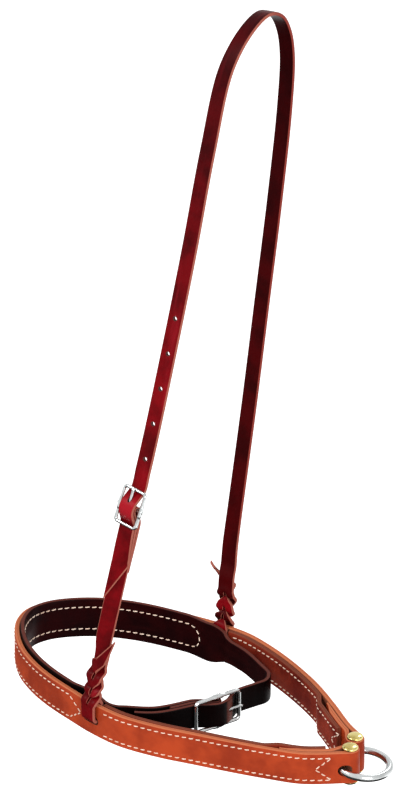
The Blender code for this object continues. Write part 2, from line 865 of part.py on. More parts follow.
def build_crown_strap(material):
    tail_top = (knot_crossings[2] + swap_half) * far_knot_share + far_tail_length
    far_top = tail_top + knot_clear
    knot, widths, openings, shifts = knot_line(far_top, tail_top, far_knot_share, far_tail_lift,
                                               far_tail_drift)
    stations = flat_path(far_leg, knot[::-1], 1.0, widths[::-1], openings[::-1],
                         shifts=shifts[::-1])
    slant_end(stations[0], -tail_cut)
    peak = far_leg.route.length - far_leg.zero
    line = [(h, 0.0) for h in spread(far_top, peak, run_step)[1:-1]]
    stations += flat_path(far_leg, line)
    peak = near_leg.route.length - near_leg.zero
    settle = cheek_frame_height * 0.9
    section_line = cheek.billet(settle, knot_step)
    section_line = [(h + cheek_buckle_height, out) for h, out in section_line]
    line = [(h, 0.0) for h in spread(peak, section_line[0][0], run_step)[:-1]]
    line += section_line
    last, out = section_line[-1]
    end = cheek_buckle_height - billet_below + billet_cut / 2
    line += [(h, out) for h in spread(last, end + billet_cut / 2, run_step)[1:]] + [(end, out)]
    stations += flat_path(near_leg, line, -1.0)
    slant_end(stations[-1], billet_cut)
    item = add_object("crown_strap", strap(stations), material)
    first = cheek_buckle_height + hole_first
    for k in range(holes_above):
        place, up, across, outward = near_leg.frame(first + k * hole_pitch)
        place += across * hole_drift
        reach = outward * (strap_thick + cut_over)
        add_cutter(item, "billet_hole_cut", tube([place - reach, place + reach],
                                                 hole_diameter / 2, 10))
    return item


def build_jaw_strap(material):
    """Turn-back, bar, near run, nose, far run and billet, in one strap."""
    line = [(h, jaw.outer_layer(h)) for h in spread(-jaw_turn_back, -jaw.half, bend_step)]
    line += [(h, jaw.outer_layer(h)) for h in spread(-jaw.half, 0.0, knot_step)[1:]]
    line += [(h, out) for h, out in reversed(jaw.wrap())]
    line += [(h, jaw.inner_layer(h)) for h in spread(0.0, -jaw.half, knot_step)]
    start = -jaw_route.zero
    run = spread(-jaw.half, start, bend_step)[1:]
    line += [(h, 0.0) for h in run]
    widths = []
    for h, out in line:
        widths.append(mix(jaw_wide, jaw_narrow, smoothstep((h - start) / jaw_taper)))
    stations = flat_path(jaw_route, line, 1.0, widths, thick=jaw_thick)
    close = band_thick / 2 + fit_gap + jaw_thick / 2
    away = band_thick / 2 + 2 * loop_clear + strap_thick + jaw_thick / 2
    first = slot_near_s + strap_width / 2
    last = slot_far_s - strap_width / 2
    for s in spread(first, last, bend_step)[1:-1]:
        near_slot = min(s - first, last - s)
        inset = mix(away, close, smoothstep(near_slot / jaw_slot_run))
        centre, ahead, outward = plan_frame(s, inset, band_width / 2)
        stations.append(station(centre, -axis_z, -outward, jaw_wide, jaw_thick))
    settle = jaw_frame_height * 0.8
    billet = jaw.billet(settle, knot_step)
    end = jaw_route.curve.length - jaw_route.zero
    line = [(h, 0.0) for h in spread(end, billet[0][0], fold_step)[:-1]] + billet
    low, out = billet[-1]
    line += [(h, out) for h in spread(low, -jaw_billet_below, bend_step)[1:]]
    widths = [mix(jaw_wide, jaw_narrow, smoothstep((end - h) / jaw_taper)) for h, out in line]
    stations += flat_path(jaw_route, line, 1.0, widths, thick=jaw_thick)
    return add_object("jaw_strap", strap(stations), material)


def buckle_frame_points(section, height):
    """Round-cornered rectangle through the outer bars, and the wire's share at each point."""
    radius = section.wire * corner_share
    half_width = section.width / 2
    half = section.half
    points = []
    for sx, sy in ((1, 1), (-1, 1), (-1, -1), (1, -1)):
        centre = (sx * (half_width - radius), sy * (half - radius))
        start = math.atan2(sy, sx) - math.pi / 4
        for k in range(5):
            angle = start + math.pi / 2 * k / 4
            points.append((centre[0] + radius * math.cos(angle), centre[1] + radius * math.sin(angle)))
        if sx == sy:
            continue
        for stop in (boss_half * 1.6, boss_half, -boss_half, -boss_half * 1.6):
            points.append((sx * half_width, -sx * stop))
    return points


def build_buckle(prefix, section, holder, height, material, tongue_pivot_name):
    """Frame, pin and tongue of one centre-bar buckle, seated on its straps."""
    origin, up, across, outward = holder.frame(height)
    origin = origin + outward * section.bar_out
    long_side = (up * math.cos(section.tilt) - outward * math.sin(section.tilt)).normalized()
    points = []
    shares = []
    for x, y in buckle_frame_points(section, height):
        points.append(origin + across * x + long_side * y)
        shares.append(boss_share if abs(y) <= boss_half * 1.01 else 1.0)
    frame = add_object(prefix + "_frame", tube(points, section.wire / 2, 8, True, shares), material)
    reach = section.width / 2 + section.wire / 2 * boss_share + pin_stand
    hole = [origin - across * (reach + cut_over), origin + across * (reach + cut_over)]
    add_cutter(frame, prefix + "_pin_cut", tube(hole, pin_diameter / 2 + fit_gap, 16))
    pin = [origin - across * reach, origin + across * reach]
    add_object(prefix + "_pin", tube(pin, pin_diameter / 2, 16), material)

    pivot = add_empty(tongue_pivot_name, origin)
    round_bar = pin_diameter / 2 + fit_gap + tongue_wire / 2
    shape = []
    steps = 14
    for k in range(steps + 1):
        angle = -tongue_curl * (1 - k / steps)
        shape.append((round_bar * math.sin(angle), round_bar * math.cos(angle)))
    rest_height = section.half * math.cos(section.tilt)
    rest_out = -section.half * math.sin(section.tilt) + section.wire / 2 + fit_gap + tongue_wire / 2
    shape.append((rest_height * 0.3, mix(round_bar, rest_out, 0.3)))
    shape.append((rest_height * 0.6, mix(round_bar, rest_out, 0.62)))
    shape.append((rest_height, rest_out))
    shape.append((rest_height + tongue_tip_over, rest_out - fit_gap))
    shares = [1.0] * (len(shape) - 1) + [0.75]
    line = [origin + up * h + outward * out for h, out in shape]
    add_object(prefix + "_tongue", tube(line, tongue_wire / 2, 10, False, shares), material, pivot)
    return origin, up, across, outward, round_bar, rest_height, rest_out


def cut_for_tongue(prefix, section, seat, folded, billet):
    """Open the fold round the pin for the curl, and the billet's hole for the shank."""
    origin, up, across, outward, round_bar, rest_height, rest_out = seat
    slot_width = tongue_wire + 2 * tongue_slot_room
    low = round_bar + tongue_wire / 2 + 2 * fit_gap
    high = section.hug + section.thick / 2 + cut_over
    centre = origin + up * ((high - low) / 2)
    size = (slot_width, high + low, 2 * high)
    add_cutter(folded, prefix + "_fold_cut", box_cutter(centre, across, up, outward, size))
    lift = rest_height * math.sin(tongue_lift) * 0.6
    level = mix(round_bar, rest_out, 0.45)
    tall = tongue_wire + 2 * tongue_slot_room + lift
    hole_centre = origin + up * (rest_height * 0.52) + outward * (level + lift / 2)
    hole = stadium_cutter(hole_centre, outward, across, up, max(tall, slot_width * 1.01),
                          slot_width, rest_height * 0.66)
    add_cutter(billet, prefix + "_hole_cut", hole)


def build_posts(material):
    """Posts with domed caps through the folded leg ends, each closed by a screw below."""
    radius = post_diameter / 2
    bore = screw_shank / 2 + fit_gap
    cap = cap_diameter / 2
    for name, place in (("near", post_near), ("far", post_far)):
        top = fit_gap
        bottom = -band_width
        dome = []
        for k in range(1, 7):
            angle = math.pi / 2 * k / 6
            dome.append((cap * math.cos(angle) if k < 6 else 0,
                         top + cap_rim + (cap_height - cap_rim) * math.sin(angle)))
        profile = [(0, bottom + screw_depth), (bore, bottom + screw_depth), (bore, bottom),
                   (radius, bottom), (radius, top), (cap, top), (cap, top + cap_rim)] + dome
        add_object(name + "_post", turned(profile, place), material, noseband_pivot)
        low = bottom - fit_gap
        shank = screw_shank / 2
        dome = []
        for k in range(1, 7):
            angle = math.pi / 2 * k / 6
            dome.append((cap * math.cos(angle) if k < 6 else 0,
                         low - cap_rim - (cap_height - cap_rim) * math.sin(angle)))
        profile = [(0, bottom + screw_depth - fit_gap), (shank, bottom + screw_depth - fit_gap),
                   (shank, low), (cap, low), (cap, low - cap_rim)] + dome
        screw = add_object(name + "_screw", turned(profile, place), material, noseband_pivot)
        slot = place + axis_z * (low - cap_height)
        add_cutter(screw, name + "_drive_cut",
                   box_cutter(slot, axis_x, axis_y, axis_z,
                              (cap_diameter, drive_slot_width, 2 * drive_slot_depth)))


def build_ring(material):
    heel = ring_centre - end_ahead * ring_radius
    pivot = add_empty("ring_pivot", heel)
    pivot.parent = noseband_pivot
    pivot.matrix_parent_inverse = Matrix.Translation(-noseband_pivot.location)
    outwards = end_ahead * math.cos(ring_droop) - axis_z * math.sin(ring_droop)
    points = []
    for k in range(48):
        angle = 2 * math.pi * k / 48
        reach = ring_radius * (1 + math.cos(angle))
        points.append(heel + outwards * reach + end_aside * (ring_radius * math.sin(angle)))
    return add_object("tie_down_ring", tube(points, ring_wire / 2, 12, True), material, pivot)


def cut_band_slots(band):
    for name, s in (("near", slot_near_s), ("far", slot_far_s)):
        top = slot_depth
        bottom = slot_depth + face_out + strap_thick / 2 + loop_clear + fit_gap
        centre, ahead, outward = plan_frame(s, 0.0, (top + bottom) / 2)
        cutter = stadium_cutter(centre, ahead, axis_z, outward, strap_width + slot_room,
                                bottom - top, band_thick + 2 * cut_over)
        add_cutter(band, name + "_cheek_slot_cut", cutter)
    half = ring_slot_height / 2
    rim = ring_radius + ring_wire / 2 + ring_room - half
    profile = [(0, -half)]
    for k in range(9):
        angle = math.pi * (k / 8 - 0.5)
        profile.append((rim + half * math.cos(angle), half * math.sin(angle)))
    profile.append((0, half))
    add_cutter(band, "ring_slot_cut", turned(profile, ring_centre, sides=48))


noseband_pivot = None


def main():
    global noseband_pivot
    clear_scene()
    crown_leather = make_material("burgundy_bridle_leather", (0.22, 0.004, 0.008), 0.35)
    band_leather = make_material("russet_harness_leather", (0.60, 0.13, 0.035), 0.45)
    lining_leather = make_material("lining_leather", (0.16, 0.02, 0.012), 0.5)
    jaw_leather = make_material("dark_burgundy_leather", (0.03, 0.004, 0.004), 0.4)
    nickel = make_material("nickel", (0.72, 0.72, 0.70), 0.2, 1.0)
    brass = make_material("brass", (0.78, 0.66, 0.30), 0.25, 1.0)

    noseband_pivot = add_empty("noseband_pivot", Vector((-slot_back, 0, -slot_depth)))
    crown_strap = build_crown_strap(crown_leather)
    cheek_piece = build_cheek_piece(crown_leather)
    band = add_object("outer_band", strap(band_path()), band_leather, noseband_pivot)
    cut_band_slots(band)
    add_object("near_leg_lining", strap(lining_path(slot_near_s, 0.0, 1)), lining_leather,
               noseband_pivot)
    add_object("far_leg_lining", strap(lining_path(slot_far_s, plan.length, -1)), lining_leather,
               noseband_pivot)
    jaw_strap = build_jaw_strap(jaw_leather)
    build_posts(brass)
    build_ring(nickel)
    seat = build_buckle("cheek_buckle", cheek, near_leg, cheek_buckle_height, nickel,
                        "cheek_tongue_pivot")
    cut_for_tongue("cheek", cheek, seat, cheek_piece, crown_strap)
    seat = build_buckle("jaw_buckle", jaw, jaw_route, 0.0, nickel, "jaw_tongue_pivot")
    cut_for_tongue("jaw", jaw, seat, jaw_strap, jaw_strap)


main()
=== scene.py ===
import math

import bmesh
import bpy
import numpy as np
from mathutils import Matrix, Vector


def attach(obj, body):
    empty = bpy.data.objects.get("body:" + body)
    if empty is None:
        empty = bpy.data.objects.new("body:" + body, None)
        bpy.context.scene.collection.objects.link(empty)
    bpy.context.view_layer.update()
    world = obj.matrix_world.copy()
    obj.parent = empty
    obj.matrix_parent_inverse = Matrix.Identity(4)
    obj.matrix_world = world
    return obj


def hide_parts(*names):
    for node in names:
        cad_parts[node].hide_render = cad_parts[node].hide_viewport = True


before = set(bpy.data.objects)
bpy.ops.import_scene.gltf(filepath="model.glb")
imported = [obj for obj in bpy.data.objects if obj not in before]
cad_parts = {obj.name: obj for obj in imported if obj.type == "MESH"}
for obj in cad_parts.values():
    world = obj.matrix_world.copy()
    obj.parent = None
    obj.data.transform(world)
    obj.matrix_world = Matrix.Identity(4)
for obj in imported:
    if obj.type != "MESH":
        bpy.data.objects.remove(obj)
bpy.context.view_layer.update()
print("frame loaded:", len(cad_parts), "nodes")

mm = 0.001
inch = 0.0254
fitGap = 0.3 * mm
loopClear = 0.7 * mm
sharpAngle = math.radians(35)
axisX = Vector((1, 0, 0))
axisZ = Vector((0, 0, 1))


# Shader maths: a Wire holds one socket, and sums on it add Math nodes

class Wire:
    def __init__(self, look, socket):
        self.look = look
        self.socket = socket

    def maths(self, operation, *parts):
        settings = {"operation": operation}
        return self.look.node("ShaderNodeMath", settings, dict(enumerate(parts)))

    def __add__(self, other):
        return self.maths("ADD", self, other)

    def __sub__(self, other):
        return self.maths("SUBTRACT", self, other)

    def __rsub__(self, other):
        return self.maths("SUBTRACT", other, self)

    def __mul__(self, other):
        return self.maths("MULTIPLY", self, other)

    def __abs__(self):
        return self.maths("ABSOLUTE", self)

    def ramp(self, low, high, fromValue=0.0, toValue=1.0):
        # smooth change between two values, held beyond them
        settings = {"interpolation_type": "SMOOTHSTEP"}
        inputs = {0: self, 1: low, 2: high, 3: fromValue, 4: toValue}
        return self.look.node("ShaderNodeMapRange", settings, inputs)

    def line(self, place, halfWidth):
        # 1 on a line at a place, falling to 0 at its half width
        return abs(self - place).ramp(halfWidth * 0.4, halfWidth, 1.0, 0.0)


class Look:
    def __init__(self, name, world=None):
        # the nodes of a new material, or of the world
        self.material = world or bpy.data.materials.new(name)
        self.material.use_nodes = True
        self.tree = self.material.node_tree
        self.shader = self.tree.nodes["Background" if world else "Principled BSDF"]

    def node(self, kind, settings=None, inputs=None, output=0):
        made = self.tree.nodes.new(kind)
        for key, value in (settings or {}).items():
            setattr(made, key, value)
        for key, value in (inputs or {}).items():
            self.feed(made.inputs[key], value)
        return Wire(self, made.outputs[output])

    def feed(self, socket, value):
        if isinstance(value, Wire):
            self.tree.links.new(value.socket, socket)
        else:
            socket.default_value = value

    def set(self, **values):
        for key, value in values.items():
            self.feed(self.shader.inputs[key.replace("_", " ")], value)

    def attribute(self, name):
        return self.node("ShaderNodeAttribute", {"attribute_name": name}, output=2)

    def place(self):
        return self.node("ShaderNodeTexCoord", output=3)

    def part(self, vector, axis):
        return self.node("ShaderNodeSeparateXYZ", None, {0: vector}, axis)

    def strapPlace(self, along, across, depth):
        # a place in the strap's own directions, so that fibres can run along it
        return self.node("ShaderNodeCombineXYZ", None, {0: along, 1: across, 2: depth})

    def seen(self):
        # 1 where the camera looks straight, by a reflection or through a clear surface
        camera, glossy, through = (self.node("ShaderNodeLightPath", output=k) for k in (0, 3, 6))
        return camera.maths("MAXIMUM", camera.maths("MAXIMUM", camera, glossy), through)

    def stretch(self, place, scale):
        settings = {"vector_type": "POINT"}
        return self.node("ShaderNodeMapping", settings, {0: place, 3: scale})

    def noise(self, place, scale, detail=3.0, rough=0.5):
        inputs = {"Vector": place, "Scale": scale, "Detail": detail, "Roughness": rough}
        return self.node("ShaderNodeTexNoise", None, inputs)

    def cells(self, place, scale):
        settings = {"feature": "DISTANCE_TO_EDGE"}
        return self.node("ShaderNodeTexVoronoi", settings, {"Vector": place, "Scale": scale})

    def blend(self, mask, first, second):
        inputs = {0: mask, 6: first, 7: second}
        return self.node("ShaderNodeMix", {"data_type": "RGBA"}, inputs, 2)

    def bump(self, height, distance, strength=1.0, below=None):
        inputs = {"Height": height, "Distance": distance, "Strength": strength}
        if below:
            inputs["Normal"] = below
        return self.node("ShaderNodeBump", None, inputs)


def paint(red, green, blue):
    # display colour, 0 to 255, as the linear colour that shaders take
    linear = []
    for value in (red, green, blue):
        share = value / 255
        linear.append(share / 12.92 if share <= 0.04045 else ((share + 0.055) / 1.055) ** 2.4)
    return (*linear, 1.0)


def leatherLook(name, look):
    # The mesh gives rim, 1 on a cut edge, depth, from -1 to 1 through the strap, places along and
    # across it, and crease, above 0 where the strap is squeezed and below 0 where a bar bends it.
    made = Look(name)
    place = made.place()
    rim = made.attribute("rim")
    depth = made.attribute("depth")
    along = made.attribute("along")
    across = made.attribute("across")
    crease = made.attribute("crease")
    mottle = made.noise(place, look["mottle"], 4.0, 0.55)
    fibre = made.noise(place, look["fibre"], 3.0, 0.6)
    flow = made.strapPlace(along * 6.0, across * 60.0, depth * 0.4)
    streak = made.noise(flow, look["streak"], 3.0, 0.6)
    # both faces; the band and the jaw strap are drawn with their inner one outwards
    outer = made.blend(mottle.ramp(0.35, 0.68), look["face"], look["deep"])
    outer = made.blend(streak.ramp(0.52, 0.78) * look["pullUp"], outer, look["light"])
    inner = made.blend(mottle.ramp(0.35, 0.65), look["inner"], look["innerDeep"])
    skin = made.blend(depth.ramp(-0.3, 0.3), inner, outer)
    # where a knot squeezes the strap, the colour darkens towards the deep colour: painted shade in
    # the crease
    skin = made.blend(crease.ramp(0.1, 1.0) * look["shade"], skin, look["deep"])
    # where a bar bends the strap, the colour lightens towards the bend colour: a painted highlight
    # on the fold, partly the real lightening of stretched pull-up leather
    skin = made.blend((0 - crease).ramp(0.0, 1.0) * 0.8, skin, look["bendHighlight"])
    # higher up, the colour darkens towards the top colour: painted shade on the upper straps
    height = made.part(place, 2)
    skin = made.blend(height.ramp(*look["shadedTopHeights"]) * 0.74, skin, look["topShade"])
    # the cut edge, with fibre layers, glue lines between plies, stain, and painted shade on the far
    # side
    layers = made.noise(made.strapPlace(along * 40.0, across * 40.0, depth * 5.0), 5.0, 4.0, 0.7)
    cut = made.blend(layers.ramp(0.35, 0.7), look["edge"], look["edgeDeep"])
    uneven = depth + (layers - 0.5) * 0.10
    for line in look["plies"]:
        cut = made.blend(uneven.line(line, look["plyWidth"]), cut, look["ply"])
    # on the far side, above a height, the edges are darkened beyond their stain: painted shade on
    # the far strap's edges
    farSide = made.part(place, 1).ramp(*look["farFrom"]) * height.ramp(*look["farAbove"])
    stain = farSide.maths("MAXIMUM", farSide * look["farEdgeShade"], look["stain"])
    cut = made.blend(stain, cut, look["edgeStainAndShade"])
    edge = (rim * (crease.ramp(0.0, 1.0) * 2 + 1)).ramp(look["rimFrom"], look["rimTo"])
    colour = made.blend(edge, skin, cut)
    # relief and gloss
    pores = made.cells(place, look["grain"])
    wrinkle = made.noise(made.strapPlace(along * 9.0, across * 2.2, depth), 90.0, 3.0, 0.55)
    grain = pores.ramp(0.0, 0.12) * 0.6 + fibre * 0.5
    ripple = wrinkle * (abs(crease) * 0.8 + look["wrinkle"]) * (1 - edge)
    rough = mottle.ramp(0.3, 0.7, look["gloss"] - 0.05, look["gloss"] + 0.07)
    rough = rough + edge * look["edgeDull"] + crease * 0.1 + (fibre - 0.5) * 0.12
    low = made.bump(ripple, look["wrinkleDeep"], 0.8)
    normal = made.bump(grain + layers * edge * 0.8, look["grainDeep"], look["bump"], low)
    made.set(Base_Color=colour, Roughness=rough, Normal=normal, Coat_Roughness=0.28)
    made.set(Coat_Weight=(1 - edge) * look["coat"], Specular_IOR_Level=look["specular"])
    return made.material


def threadLook(name, look):
    made = Look(name)
    place = made.place()
    soil = made.noise(place, 160.0, 3.0)
    twist = made.attribute("twist")
    strand = twist.maths("SINE", twist * 6.283)
    colour = made.blend(soil.ramp(0.4, 0.7), look["thread"], look["soiled"])
    # the grooves between the twisted strands are darker: painted shade in the grooves
    colour = made.blend(strand.ramp(-1.0, -0.2, 0.45, 0.0), colour, look["grooveShade"])
    made.set(Base_Color=colour, Roughness=0.62, Normal=made.bump(strand, 0.09 * mm, 0.9))
    return made.material


def metalLook(name, look):
    made = Look(name)
    place = made.place()
    cloud = made.noise(place, 70.0, 4.0, 0.6)
    scratch = made.noise(made.stretch(place, (1.0, 1.0, 12.0)), 600.0, 2.0, 0.7)
    colour = made.blend(cloud.ramp(0.4, 0.75), look["metal"], look["tarnish"])
    rough = cloud.ramp(0.35, 0.75, look["gloss"], look["gloss"] + look["wear"]) + scratch * 0.05
    made.set(Base_Color=colour, Roughness=rough, Normal=made.bump(scratch, 0.02 * mm, 0.35))
    made.set(Metallic=1.0)
    return made.material


def holeLook(name, colour):
    made = Look(name)
    fibre = made.noise(made.place(), 1400.0, 4.0, 0.7)
    shade = made.blend(fibre.ramp(0.3, 0.7), colour, (*(0.45 * c for c in colour[:3]), 1.0))
    made.set(Base_Color=shade, Roughness=0.85, Normal=made.bump(fibre, 0.1 * mm, 0.6))
    return made.material


# Mesh helpers

def smoothstep(value):
    value = min(1.0, max(0.0, value))
    return value * value * (3 - 2 * value)


def mix(first, second, share):
    return first + (second - first) * share


def unit(vector):
    return Vector(vector).normalized()


# A strap's half section from the middle of its top to the middle of its bottom, as
# (side share, height share, corner x, corner z, rim): a crowned face, a rounded corner, an edge
strapShape = {"corner": 0.9 * mm, "slitFull": 0.8 * mm,
              "faceShares": ((0.0, 1.0), (0.13, 1.0), (0.45, 0.995), (0.8, 0.97))}
halfProfile = [(side, height, 0, 0, 0.0) for side, height in strapShape["faceShares"]]
for degrees in (0, 22, 45, 68, 90):
    angle = math.radians(degrees)
    halfProfile.append((1.0, 0.95, math.sin(angle), math.cos(angle), 0.2 + 0.8 * degrees / 90))
halfProfile.append((1.0, 0.0, 1.0, 0.0, 1.0))
halfProfile += [(a, -z, x, -c, rim) for a, z, x, c, rim in halfProfile[-2::-1]]


def halfSection(place, side):
    # points of one half, with their attributes, shifted aside where the strap is slit
    width = place["width"] / 2
    thick = place["thick"] / 2
    radius = min(strapShape["corner"], thick * 0.75, width * 0.4)
    points = []
    for a, z, x, c, rim in halfProfile:
        if a == 1.0:
            out = width - radius + radius * x
            up = (thick * abs(z) - radius) * np.sign(z) + radius * c if z else 0.0
        else:
            out = (width - radius) * a
            up = thick * z
        height = up
        aside = side * (out + place["opening"])
        slit = min(1.0, place["opening"] / strapShape["slitFull"])
        share = out / width
        up += place["puff"] * mix(math.cos(share * math.pi / 2), math.sin(share * math.pi), slit)
        point = place["centre"] + place["across"] * aside + place["through"] * up
        if a == 0.0:
            rim = 0.75 * slit
        rim = max(rim, place["cut"])
        points.append((point, (rim, height / thick, aside, place["crease"])))
    return points


def strapMesh(stations):
    # a strap solid through stations, with what its leather needs to know kept on the corners
    bm = bmesh.new()
    names = ("rim", "depth", "across", "crease", "along")
    layers = [bm.loops.layers.float.new(name) for name in names]
    rings = []
    run = 0.0

    def corners(points, run):
        return [(bm.verts.new(p), (*facts, run)) for p, facts in points]

    def face(ring, rim=None):
        made = bm.faces.new([c[0] for c in ring])
        for loop, corner in zip(made.loops, ring):
            facts = list(corner[1])
            if rim is not None:
                facts[0] = rim
            for layer, value in zip(layers, facts):
                loop[layer] = value

    for i, place in enumerate(stations):
        if i:
            run += (place["centre"] - stations[i - 1]["centre"]).length
        left = halfSection(place, -1)
        right = halfSection(place, 1)[::-1]
        if place["opening"] > 0:
            rings.append((corners(left, run), corners(right, run), True))
        else:
            first = corners(left, run)
            second = corners(right[1:-1], run)
            rings.append((first, [first[-1]] + second + [first[0]], False))
    for first, second in zip(rings[:-1], rings[1:]):
        walled = first[2] or second[2]
        for a, b in ((first[0], second[0]), (first[1], second[1])):
            for k in range(len(a) - 1):
                face((a[k], a[k + 1], b[k + 1], b[k]))
            if walled:
                face((a[-1], a[0], b[0], b[-1]), 0.3)
    for ring, flip in ((rings[0], True), (rings[-1], False)):
        loop = ring[0] + ring[1][1:-1]
        face(loop[::-1] if flip else loop, 1.0)
    return bm


def addObject(name, data):
    made = bpy.data.objects.new(name, data)
    bpy.context.scene.collection.objects.link(made)
    return made


def meshObject(name, bm, material, move=True):
    # an object of a mesh; a piece's or cutter's is moved from the loop's frame to the shared one
    if move:
        bmesh.ops.recalc_face_normals(bm, faces=bm.faces)
        bmesh.ops.translate(bm, verts=bm.verts, vec=shift)
    mesh = bpy.data.meshes.new(name)
    bm.to_mesh(mesh)
    bm.free()
    mesh.materials.append(material)
    return addObject(name, mesh)


def addPiece(name, bm, material, body, node=None, sharp=sharpAngle):
    piece = meshObject(name, bm, material)
    piece.data.shade_smooth()
    piece.data.set_sharp_from_angle(angle=sharp)
    if node:
        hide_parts(node)
    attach(piece, body)
    return piece


def cutPiece(piece, cutters, wall):
    # cut closed shapes out of a piece at once; the cut walls take the wall material
    tools = []
    for bm in cutters:
        tools.append(meshObject("cutter", bm, wall))
        cut = piece.modifiers.new("cut", "BOOLEAN")
        cut.operation = "DIFFERENCE"
        cut.solver = "EXACT"
        cut.material_mode = "TRANSFER"
        cut.object = tools[-1]
    graph = bpy.context.evaluated_depsgraph_get()
    done = bpy.data.meshes.new_from_object(piece.evaluated_get(graph))
    piece.modifiers.clear()
    piece.data = done
    done.set_sharp_from_angle(angle=sharpAngle)
    for tool in tools:
        bpy.data.objects.remove(tool, do_unlink=True)


# spacing of a strap's stations in straight runs, bends, folds and knots, and of a tongue's rings,
# and the number of turns in the eye round a post
steps = {"run": 4 * mm, "bend": 2.5 * mm, "fold": 2 * mm, "knot": 0.8 * mm, "tongue": 0.5 * mm,
         "eye": 28}


# facets round bars, wires, posts and cutters
facets = {"bar": 24, "tongue": 20, "ring": 40, "post": 72, "hole": 32, "fold": 48, "slot": 128,
          "slotEnd": 16, "holeEnd": 14}


class Curve:
    # a smooth curve through points, read by length along it, with straight ends beyond

    def __init__(self, points, perSpan=24):
        points = [np.array(p, float) for p in points]
        first = 2 * points[0] - points[1]
        last = 2 * points[-1] - points[-2]
        padded = [first] + points + [last]
        samples = []
        for i in range(1, len(padded) - 2):
            p0, p1, p2, p3 = padded[i - 1:i + 3]
            d0, d1, d2 = (max(np.linalg.norm(b - a), fitGap / 1000) ** 0.5
                          for a, b in ((p0, p1), (p1, p2), (p2, p3)))
            m1 = (p1 - p0) / d0 - (p2 - p0) / (d0 + d1) + (p2 - p1) / d1
            m2 = (p2 - p1) / d1 - (p3 - p1) / (d1 + d2) + (p3 - p2) / d2
            for k in range(perSpan):
                t = k / perSpan
                h = (2 * t ** 3 - 3 * t ** 2 + 1, t ** 3 - 2 * t ** 2 + t,
                     3 * t ** 2 - 2 * t ** 3, t ** 3 - t ** 2)
                samples.append(h[0] * p1 + h[1] * m1 * d1 + h[2] * p2 + h[3] * m2 * d1)
        samples.append(points[-1])
        self.points = np.array(samples)
        spans = np.linalg.norm(np.diff(self.points, axis=0), axis=1)
        self.lengths = np.concatenate(([0.0], np.cumsum(spans)))
        self.length = self.lengths[-1]

    def at(self, s):
        if s < 0:
            return self.points[0] + s * self.direction(0)
        if s > self.length:
            return self.points[-1] + (s - self.length) * self.direction(self.length)
        return np.array([np.interp(s, self.lengths, column) for column in self.points.T])

    def direction(self, s):
        step = self.length / 2000
        low = min(max(s - step, 0), self.length - 2 * step)
        delta = self.at(low + 2 * step) - self.at(low)
        return delta / np.linalg.norm(delta)

    def where(self, column, value, rising=True):
        # length along the curve where one coordinate first passes a value
        data = self.points[:, column]
        for i in range(len(data) - 1):
            a, b = data[i], data[i + 1]
            crosses = a <= value < b if rising else a >= value > b
            if crosses:
                share = (value - a) / (b - a)
                return mix(self.lengths[i], self.lengths[i + 1], share)
        return 0.0 if abs(data[0] - value) < abs(data[-1] - value) else self.length


def tube(points, radius, sides, closed=False, tips=None):
    # a round bar along points; tips may give a radius share for each point
    bm = bmesh.new()
    count = len(points)
    points = [Vector(p) for p in points]
    rings = []
    normal = None
    for i, point in enumerate(points):
        before = points[(i - 1) % count] if closed or i > 0 else point
        after = points[(i + 1) % count] if closed or i < count - 1 else point
        along = (after - before).normalized()
        if normal is None:
            normal = along.orthogonal().normalized()
        normal = (normal - along * normal.dot(along)).normalized()
        other = along.cross(normal)
        r = radius * (tips[i] if tips else 1.0)
        ring = []
        for k in range(sides):
            angle = 2 * math.pi * k / sides
            ray = normal * math.cos(angle) + other * math.sin(angle)
            ring.append(bm.verts.new(point + ray * r))
        rings.append(ring)
    pairs = list(zip(rings[:-1], rings[1:]))
    if closed:
        pairs.append((rings[-1], rings[0]))
    for first, second in pairs:
        offset = 0
        if first is rings[-1]:
            offset = min(range(sides), key=lambda k: (first[0].co - second[k].co).length)
        for k in range(sides):
            j = (k + 1) % sides
            bm.faces.new((first[k], first[j], second[(j + offset) % sides],
                          second[(k + offset) % sides]))
    if not closed:
        bm.faces.new(list(reversed(rings[0])))
        bm.faces.new(rings[-1])
    return bm


def turned(profile, centre, sides):
    # a solid of revolution from (radius, height) points, both ends on the axis or both the same
    bm = bmesh.new()
    side = axisZ.orthogonal().normalized()
    other = axisZ.cross(side)
    rings = []
    for radius, height in profile:
        base = centre + axisZ * height
        if radius == 0:
            rings.append([bm.verts.new(base)])
            continue
        ring = []
        for k in range(sides):
            angle = 2 * math.pi * k / sides
            ray = side * math.cos(angle) + other * math.sin(angle)
            ring.append(bm.verts.new(base + ray * radius))
        rings.append(ring)
    if profile[0] == profile[-1]:
        rings[-1] = rings[0]
    for first, second in zip(rings[:-1], rings[1:]):
        for k in range(sides):
            j = (k + 1) % sides
            if len(first) == 1:
                bm.faces.new((first[0], second[j], second[k]))
            elif len(second) == 1:
                bm.faces.new((first[k], first[j], second[0]))
            else:
                bm.faces.new((first[k], first[j], second[j], second[k]))
    return bm


def stadiumCutter(centre, along, across, depthAxis, length, height, depth, turns):
    # a slot cutter with round ends: length along, height across, through the strap
    bm = bmesh.new()
    radius = height / 2
    half = max(length / 2 - radius, 0)
    outline = []
    for side in (1, -1):
        for k in range(turns + 1):
            angle = math.pi * k / turns - math.pi / 2
            x = side * (half + radius * math.cos(angle))
            y = side * radius * math.sin(angle)
            outline.append(centre + along * x + across * y)
    near = [bm.verts.new(p - depthAxis * (depth / 2)) for p in outline]
    far = [bm.verts.new(p + depthAxis * (depth / 2)) for p in outline]
    count = len(outline)
    for k in range(count):
        j = (k + 1) % count
        bm.faces.new((near[k], near[j], far[j], far[k]))
    bm.faces.new(list(reversed(near)))
    bm.faces.new(far)
    return bm


def boxCutter(centre, along, across, through, size):
    bm = bmesh.new()
    bmesh.ops.create_cube(bm, size=1.0)
    sized = Matrix((along * size[0], across * size[1], through * size[2])).transposed().to_4x4()
    sized.translation = centre
    bmesh.ops.transform(bm, matrix=sized, verts=bm.verts)
    return bm


# Plan of the loop, on its outer face, and of its ring

